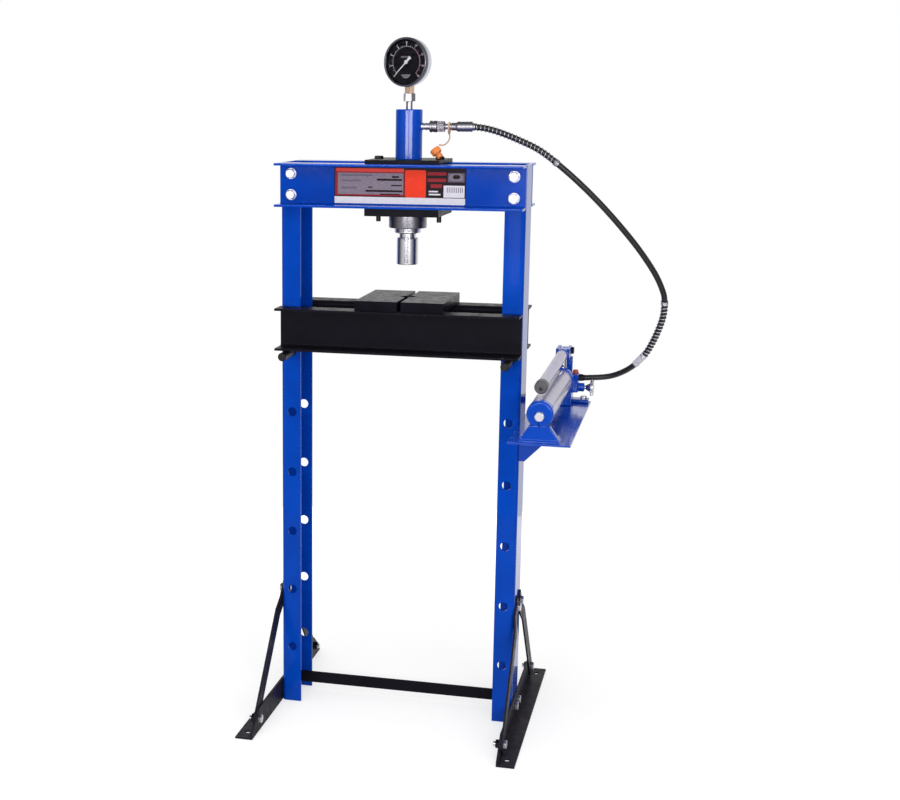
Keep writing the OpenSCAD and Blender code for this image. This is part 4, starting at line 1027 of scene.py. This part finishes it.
def figure(division):
    """The plain number at a division of the dial, as a thin film."""
    curve = bpy.data.curves.new("figure", "FONT")
    curve.body = str(division // 2)
    curve.size = FIGURE_HEIGHT
    curve.align_x, curve.align_y = "CENTER", "CENTER"
    curve.extrude = DIAL_FILM / 2
    bm = curve_shape(curve)
    x, z = on_dial(ARC_RADIUS + FIGURE_REACH, clock_of(division))
    upright = Matrix.Rotation(math.radians(90), 4, "X")
    moved(bm, Matrix.Translation((x, DIAL_Y - 0.1, z)) @ upright)
    weld(bm, 0.0005)
    return bm


def build_gauge(sizes):
    """The pressure gauge: adapter, stem, case, bezel, dial with its scale, pointer and glass."""
    eased("ferrule_steel", 0.6, "gauge_adapter")
    eased("brass", 0.9, "gauge_stem")
    eased("case_steel", 0.5, "gauge_case")
    bezel = turned(
        (49.1, 13.0), (50.0, 13.0), (50.0, 19.6), (49.9, 20.8), (49.4, 21.9), (48.5, 22.7),
        (47.4, 23.0), (46.5, 22.8), (45.8, 22.2), (45.5, 21.4), (45.5, 21.0), (46.9, 21.0),
        (46.9, 19.1), (49.1, 19.1), steps=96, ring=True,
    )
    in_gauge(laid(bezel, (0, -1, 0)))
    put(bezel, "gauge.bezel", "bezel_steel", "gauge_bezel", sharp=50.0)
    eased("gauge_black", 0.1, "gauge_dial")
    change = POINTER_ZERO + GREY_SHARE * SCALE_SWEEP
    white, pink = [], scale_arc(change, POINTER_ZERO + SCALE_SWEEP, 24)
    for i in range(DIVISIONS + 1):
        shape = next(mark[1:] for mark in MARKS if i % mark[0] == 0)
        mark = scale_mark(clock_of(i), *shape)
        (white if i < GREY_SHARE * DIVISIONS else pink).append(mark)
    white += [figure(i) for i in range(0, DIVISIONS + 1, NUMBERED)]
    put(in_gauge(joined(*white)), "gauge.scale_white", "pointer_white", sharp=20.0)
    put(in_gauge(joined(*pink)), "gauge.scale_pink", "dial_pink", sharp=20.0)
    grey = scale_arc(POINTER_ZERO, change, 48)
    for corners in (
        field(-13.0, 9.2, 5.0, 11.4),
        [(-9.0, -29.5), (7.0, -29.5), (10.5, -25.0), (-12.5, -25.0)],
        [(-5.0, -32.5), (3.5, -32.5), (6.5, -30.0), (-8.0, -30.0)],
    ):
        grey.append(printed(corners))
    put(in_gauge(joined(*grey)), "gauge.patches", "dial_grey", sharp=20.0)
    eased("pointer_white", 0.15, "gauge_pointer", body="pointer")
    glass = turned(
        (0, 18.5), (46.6, 18.5), (46.9, 18.8), (46.9, 20.2), (46.6, 20.5), (0, 20.5), steps=96,
    )
    in_gauge(laid(glass, (0, -1, 0)))
    put(glass, "gauge.glass", "clear_glass", "gauge_lens")


# ---- coupler, ferrules and dust cap


COUPLER_Z = 1275.0


def to_right(bm, x):
    """Lays a turned shape on the coupler's axis, starting at x."""
    return laid(bm, (1, 0, 0), (x, 0, COUPLER_Z))


def ribbed(bm, count, inner, outer, start, end):
    """Raises small ribs round a turned shape's axis, as a knurl or a grip."""
    ribs = []
    for i in range(count):
        rib = bmesh.new()
        bmesh.ops.create_cone(
            rib, cap_ends=True, segments=6, radius1=outer, radius2=outer, depth=end - start
        )
        turn = math.tau * i / count
        spot = (inner * math.cos(turn), inner * math.sin(turn), (start + end) / 2)
        bmesh.ops.translate(rib, vec=spot, verts=rib.verts)
        ribs.append(rib)
    return joined(bm, *ribs)


def build_coupler(sizes):
    """The quick coupler, the hose's two ferrules and the fitting at the pump."""
    low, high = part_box("coupler_nipple")
    start = low.x / MM
    reach = high.x / MM - start
    nipple = turned(
        (0, 0), (7.4, 0), (7.5, 4.2), (7.5, 7.6), (6.4, 8.2), (6.4, 10.0), (7.5, 10.6),
        (7.5, 14.6), (6.8, 15.2), (6.8, 17.0), (7.5, 17.6), (7.5, reach - 1.0), (6.8, reach),
        (0, reach),
    )
    put(to_right(nipple, start), "coupler.nipple", "zinc_steel", "coupler_nipple")
    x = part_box("coupler_sleeve")[0].x / MM
    sleeve = turned(
        (7.6, 0.4), (10.6, 0), (11.6, 0.5), (12.0, 1.5), (12.0, 5.2), (11.2, 6.0), (11.2, 8.4),
        (12.0, 9.2), (12.0, 14.6), (11.6, 15.6), (10.4, 16.0), (7.6, 15.6), steps=56, ring=True,
    )
    put(to_right(sleeve, x), "coupler.sleeve", "ferrule_steel", "coupler_sleeve")
    knurl = turned(
        (6.6, 16.1), (10.0, 16.1), (10.6, 16.7), (10.6, 31.2), (9.8, 32.0), (6.6, 32.0),
        steps=40, ring=True,
    )
    knurl = ribbed(knurl, 36, 10.35, 0.62, 17.2, 30.8)
    put(to_right(knurl, x), "coupler.knurl", "nut_steel", "coupler_sleeve")
    neck = turned(
        (0, 65.2), (6.4, 65.2), (6.4, 82.0), (5.6, 83.0), (5.6, 85.5), (6.5, 86.5), (6.5, 94.0),
        (0, 94.0), steps=40,
    )
    put(to_right(neck, 0), "coupler.neck", "zinc_steel", "hose_ferrules")
    crimped = turned(
        (0, 94.0), (6.5, 94.0), (7.6, 94.6), (8.0, 96.0), (8.0, 103.0), (9.0, 106.0),
        (10.2, 107.6), (10.5, 109.0), (10.5, 113.0), (10.1, 113.8), (10.1, 116.4), (10.5, 117.2),
        (10.5, 121.0), (10.1, 121.8), (10.1, 124.4), (10.5, 125.2), (10.5, 129.0), (10.1, 129.8),
        (10.1, 132.4), (10.5, 133.2), (10.5, 137.4), (9.8, 138.7), (8.6, 139.0), (0, 139.0),
    )
    put(to_right(crimped, 0), "hose.upper_ferrule", "ferrule_steel", "hose_ferrules")
    route = hose_route()
    start = distance_at(route, LOWER_GUARD_ROUTE[-1])
    lower_line = part_of(route, start, start + LOWER_FERRULE_LENGTH)
    run = lower_line[-1] - lower_line[0]
    length = run.length
    cuff = turned(
        (6.3, 0.3), (7.2, 0), (7.7, 0.8), (7.7, 5.0), (7.1, 5.8), (7.1, 7.2), (7.7, 8.0),
        (7.7, length - 9.0), (7.1, length - 8.2), (7.1, length - 6.8), (7.7, length - 6.0),
        (7.7, length - 1.0), (7.2, length), (6.3, length), steps=40, ring=True,
    )
    laid(cuff, run.normalized(), lower_line[0])
    put(cuff, "hose.lower_ferrule", "silver_cuff", "hose_ferrules")
    eased("dark_steel", 0.5, "hose_fitting")


def build_dust_cap(sizes):
    """The coupler's dust cap lying on the upper clamp plate, and its tether."""
    cap = turned(
        (0, -6.5), (8.0, -6.5), (9.6, -6.0), (10.4, -5.0), (10.6, -3.8), (10.6, 5.0), (10.0, 6.2),
        (8.8, 6.5), (7.0, 6.5), (7.0, 8.0), (6.4, 8.6), (6.4, 10.2), (7.0, 10.8), (7.0, 15.4),
        (6.2, 16.5), (0, 16.5),
    )
    cap = ribbed(cap, 20, 10.15, 0.85, -4.6, 5.2)
    turn = Matrix.Rotation(math.radians(-10), 4, "Z") @ Matrix.Rotation(math.radians(140), 4, "Y")
    moved(cap, Matrix.Translation((67.0, -25.0, 1225.2)) @ turn)
    put(cap, "dust_cap.moulded", "orange_plastic", "dust_cap")
    eased("tether_plastic", 0.4, "cap_tether", angle=50.0)


# ---- bed


def build_bed(sizes):
    """The bed's beams, spacers, arbor plates and pins."""
    eased("black_paint", sizes.sheet_ease, "bed_beam_front", "bed_beam_rear", body="bed")
    eased("black_paint", 0.5, "bed_spacers", body="bed")
    eased("black_plate", sizes.plate_ease, "arbor_plates", body="bed")
    eased("dark_steel", 0.4, "left_bed_pin", body="left_pin")
    eased("dark_steel", 0.4, "right_bed_pin", body="right_pin")


# ---- pump


def build_pump_shelf(sizes):
    """The shelf with its flange and gussets, welded to each other."""
    eased("blue_shelf", 0.5, "pump_shelf")


def build_pump(sizes):
    """The pump's castings, reservoir, gland, plugs and valve knob."""
    eased("blue_casting", sizes.casting_ease, "pump_head", "reservoir_cap", steps=3)
    eased("silver_paint", 0.3, "reservoir_tube")
    eased("zinc_steel", sizes.bolt_ease, "reservoir_tie_rod")
    eased("zinc_steel", 0.5, "pump_gland")
    eased("orange_red_plastic", 0.5, "filler_plug")
    low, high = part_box("release_valve")
    middle = (low + high) / 2 / MM
    rim = (high.y - low.y) / 2 / MM
    knob = turned(
        (0, 0), (3.5, 0), (4.0, 0.6), (4.0, 22.0), (5.2, 23.0), (7.0, 25.5), (8.6, 29.0),
        (10.0, 31.8), (rim - 2.4, 32.0), (rim - 0.8, 32.5), (rim - 0.55, 33.4), (rim - 0.55, 37.4),
        (rim - 0.8, 38.4), (rim - 2.2, 39.0), (rim - 5.0, 39.0), (rim - 6.0, 38.5), (3.0, 38.3),
        (0, 38.2), steps=64,
    )
    knob = ribbed(knob, 48, rim - 0.62, 0.6, 33.2, 37.6)
    laid(knob, (1, 0, 0), (low.x / MM, middle.y, middle.z))
    put(knob, "release.knob", "chrome", "release_valve", body="valve")


def build_lever(sizes):
    """The lever with its handle, grip plug, bolt and pin, and the pump's plunger."""
    eased("blue_casting", 1.6, "pump_beam", body="lever", steps=3)
    eased("silver_paint", 0.3, "pump_handle", body="lever")
    eased("grey_plastic", 0.8, "handle_plug", body="lever")
    eased("black_bolt", sizes.bolt_ease, "pivot_bolt", body="lever")
    eased("dark_steel", 0.4, "plunger_pin", body="lever")
    eased("bright_steel", 0.5, "pump_plunger", body="plunger")


# ---- settings, operators and panel


def length_property(label, note, default):
    """A length in millimetres that a user may change."""
    return bpy.props.FloatProperty(
        name=label, description=note, default=default, min=0.0, soft_max=600.0
    )


def colour_property(label, note, *colour):
    """A colour that a user may change."""
    return bpy.props.FloatVectorProperty(
        name=label, description=note, default=(*colour, 1.0), size=4, min=0.0, max=1.0,
        subtype="COLOR",
    )


class PressSizes(bpy.types.PropertyGroup):
    """Sizes of the press's details, in millimetres."""

    sheet_t: length_property("Sheet", "Thickness of the folded steel", 5.0)
    sheet_ease: length_property("Sheet edge", "Rounding of the folded steel's edges", 0.7)
    plate_ease: length_property("Plate edge", "Rounding of the thick plates' edges", 0.8)
    bolt_ease: length_property("Bolt edge", "Rounding of bolt heads and nuts", 0.5)
    casting_ease: length_property("Casting edge", "Rounding of the pump's castings", 2.4)
    bore_d: length_property("Bore", "Diameter of the cylinder's bore", 44.0)
    nose_l: length_property("Nose", "Length of the ram's nose", 57.0)
    nose_stud_d: length_property("Nose stud", "Diameter of the nose's stud", 18.0)
    hose_d: length_property("Hose", "Outside diameter of the hose", 12.5)
    guard_wire: length_property("Guard wire", "Thickness of the spring guards' wire", 1.9)
    guard_pitch: length_property("Guard pitch", "Distance between the guards' open turns", 8.4)


class PressColours(bpy.types.PropertyGroup):
    """Colours of the press's finishes."""

    blue_paint: colour_property("Blue paint", "Frame and castings", 0.001, 0.056, 0.445)
    black_paint: colour_property("Black paint", "Bed, plates and tie bar", 0.007, 0.0065, 0.011)
    black_strap: colour_property("Black straps", "Feet and braces", 0.018, 0.015, 0.024)
    silver_paint: colour_property("Silver paint", "Reservoir and handle", 0.37, 0.35, 0.48)
    gauge_black: colour_property("Gauge black", "Face of the gauge", 0.006, 0.005, 0.010)
    zinc_steel: colour_property("Zinc", "Plated bolts and fittings", 0.76, 0.76, 0.82)
    bright_steel: colour_property("Bright steel", "Ground and turned steel", 0.72, 0.71, 0.77)
    hose_rubber: colour_property("Rubber", "Hose", 0.012, 0.012, 0.014)
    orange_plastic: colour_property("Orange plastic", "Dust cap", 0.80, 0.24, 0.06)
    tether_plastic: colour_property("Tether", "Tether of the dust cap", 0.55, 0.36, 0.25)


class PRESS_OT_finishes(bpy.types.Operator):
    """Makes every paint, metal, rubber, plastic, glass and ink of the press."""

    bl_idname = "press.finishes"
    bl_label = "Finishes"

    def execute(self, context):
        colours = context.scene.press_colours
        make_groups()
        finish_paints(colours)
        finish_metals(colours)
        finish_rubber_and_plastic(colours)
        finish_lens()
        finish_label_inks()
        return {"FINISHED"}


class PRESS_OT_stage(bpy.types.Operator):
    """Sets the camera, the studio's floor and its soft light."""

    bl_idname = "press.stage"
    bl_label = "Stage"

    def execute(self, context):
        make_camera()
        make_world()
        make_floor()
        for softbox in SOFTBOXES:
            add_softbox(*softbox)
        return {"FINISHED"}


class BuildStep:
    """Calls a step's builders with the press's sizes."""

    def execute(self, context):
        for build in self.builders:
            build(context.scene.press_sizes)
        return {"FINISHED"}


class PRESS_OT_hose(BuildStep, bpy.types.Operator):
    """Lays the hose from the coupler to the pump, with its spring guards."""

    bl_idname = "press.hose"
    bl_label = "Hose"
    builders = (build_hose,)


class PRESS_OT_frame_steel(BuildStep, bpy.types.Operator):
    """Builds the columns, beams, clamp plates, feet, braces and tie bar."""

    bl_idname = "press.frame_steel"
    bl_label = "Frame steel"
    builders = (build_frame_steel,)


class PRESS_OT_bolts(BuildStep, bpy.types.Operator):
    """Builds the frame's bolts and nuts."""

    bl_idname = "press.bolts"
    bl_label = "Bolts"
    builders = (build_bolts,)


class PRESS_OT_sticker(BuildStep, bpy.types.Operator):
    """Builds the sticker's plain colour fields on the head beam."""

    bl_idname = "press.sticker"
    bl_label = "Sticker"
    builders = (build_sticker,)


class PRESS_OT_cylinder(BuildStep, bpy.types.Operator):
    """Builds the cylinder, its ring nut, the ram and its nose."""

    bl_idname = "press.cylinder"
    bl_label = "Cylinder and ram"
    builders = (build_cylinder, build_ram)


class PRESS_OT_gauge(BuildStep, bpy.types.Operator):
    """Builds the pressure gauge with its scale and pointer."""

    bl_idname = "press.gauge"
    bl_label = "Gauge"
    builders = (build_gauge,)


class PRESS_OT_coupler(BuildStep, bpy.types.Operator):
    """Builds the quick coupler, the hose's ferrules, the dust cap and its tether."""

    bl_idname = "press.coupler"
    bl_label = "Coupler"
    builders = (build_coupler, build_dust_cap)


class PRESS_OT_bed(BuildStep, bpy.types.Operator):
    """Builds the bed's beams, arbor plates and pins."""

    bl_idname = "press.bed"
    bl_label = "Bed"
    builders = (build_bed,)


class PRESS_OT_pump(BuildStep, bpy.types.Operator):
    """Builds the shelf, the hand pump and its lever."""

    bl_idname = "press.pump"
    bl_label = "Pump"
    builders = (build_pump_shelf, build_pump, build_lever)


STEPS = [
    "finishes", "stage", "hose", "frame_steel", "bolts", "sticker", "cylinder", "gauge",
    "coupler", "bed", "pump",
]


class PRESS_PT_panel(bpy.types.Panel):
    """Lists the press's steps, sizes and colours."""

    bl_idname = "PRESS_PT_panel"
    bl_label = "Hydraulic press"
    bl_space_type = "VIEW_3D"
    bl_region_type = "UI"
    bl_category = "Press"

    def draw(self, context):
        for step in STEPS:
            self.layout.operator("press." + step)
        for settings in (context.scene.press_sizes, context.scene.press_colours):
            for name in settings.__annotations__:
                self.layout.prop(settings, name)


CLASSES = [
    PressSizes, PressColours, PRESS_OT_finishes, PRESS_OT_stage, PRESS_OT_hose,
    PRESS_OT_frame_steel, PRESS_OT_bolts, PRESS_OT_sticker, PRESS_OT_cylinder, PRESS_OT_gauge,
    PRESS_OT_coupler, PRESS_OT_bed, PRESS_OT_pump, PRESS_PT_panel,
]


def register():
    """Registers the classes, and the settings on the scene."""
    for part in CLASSES:
        bpy.utils.register_class(part)
    bpy.types.Scene.press_sizes = bpy.props.PointerProperty(type=PressSizes)
    bpy.types.Scene.press_colours = bpy.props.PointerProperty(type=PressColours)


def unregister():
    """Takes the classes and settings away again."""
    del bpy.types.Scene.press_colours
    del bpy.types.Scene.press_sizes
    for part in reversed(CLASSES):
        bpy.utils.unregister_class(part)


def main():
    """Builds the press step by step."""
    register()
    for step in STEPS:
        getattr(bpy.ops.press, step)()


if __name__ == "__main__":
    main()
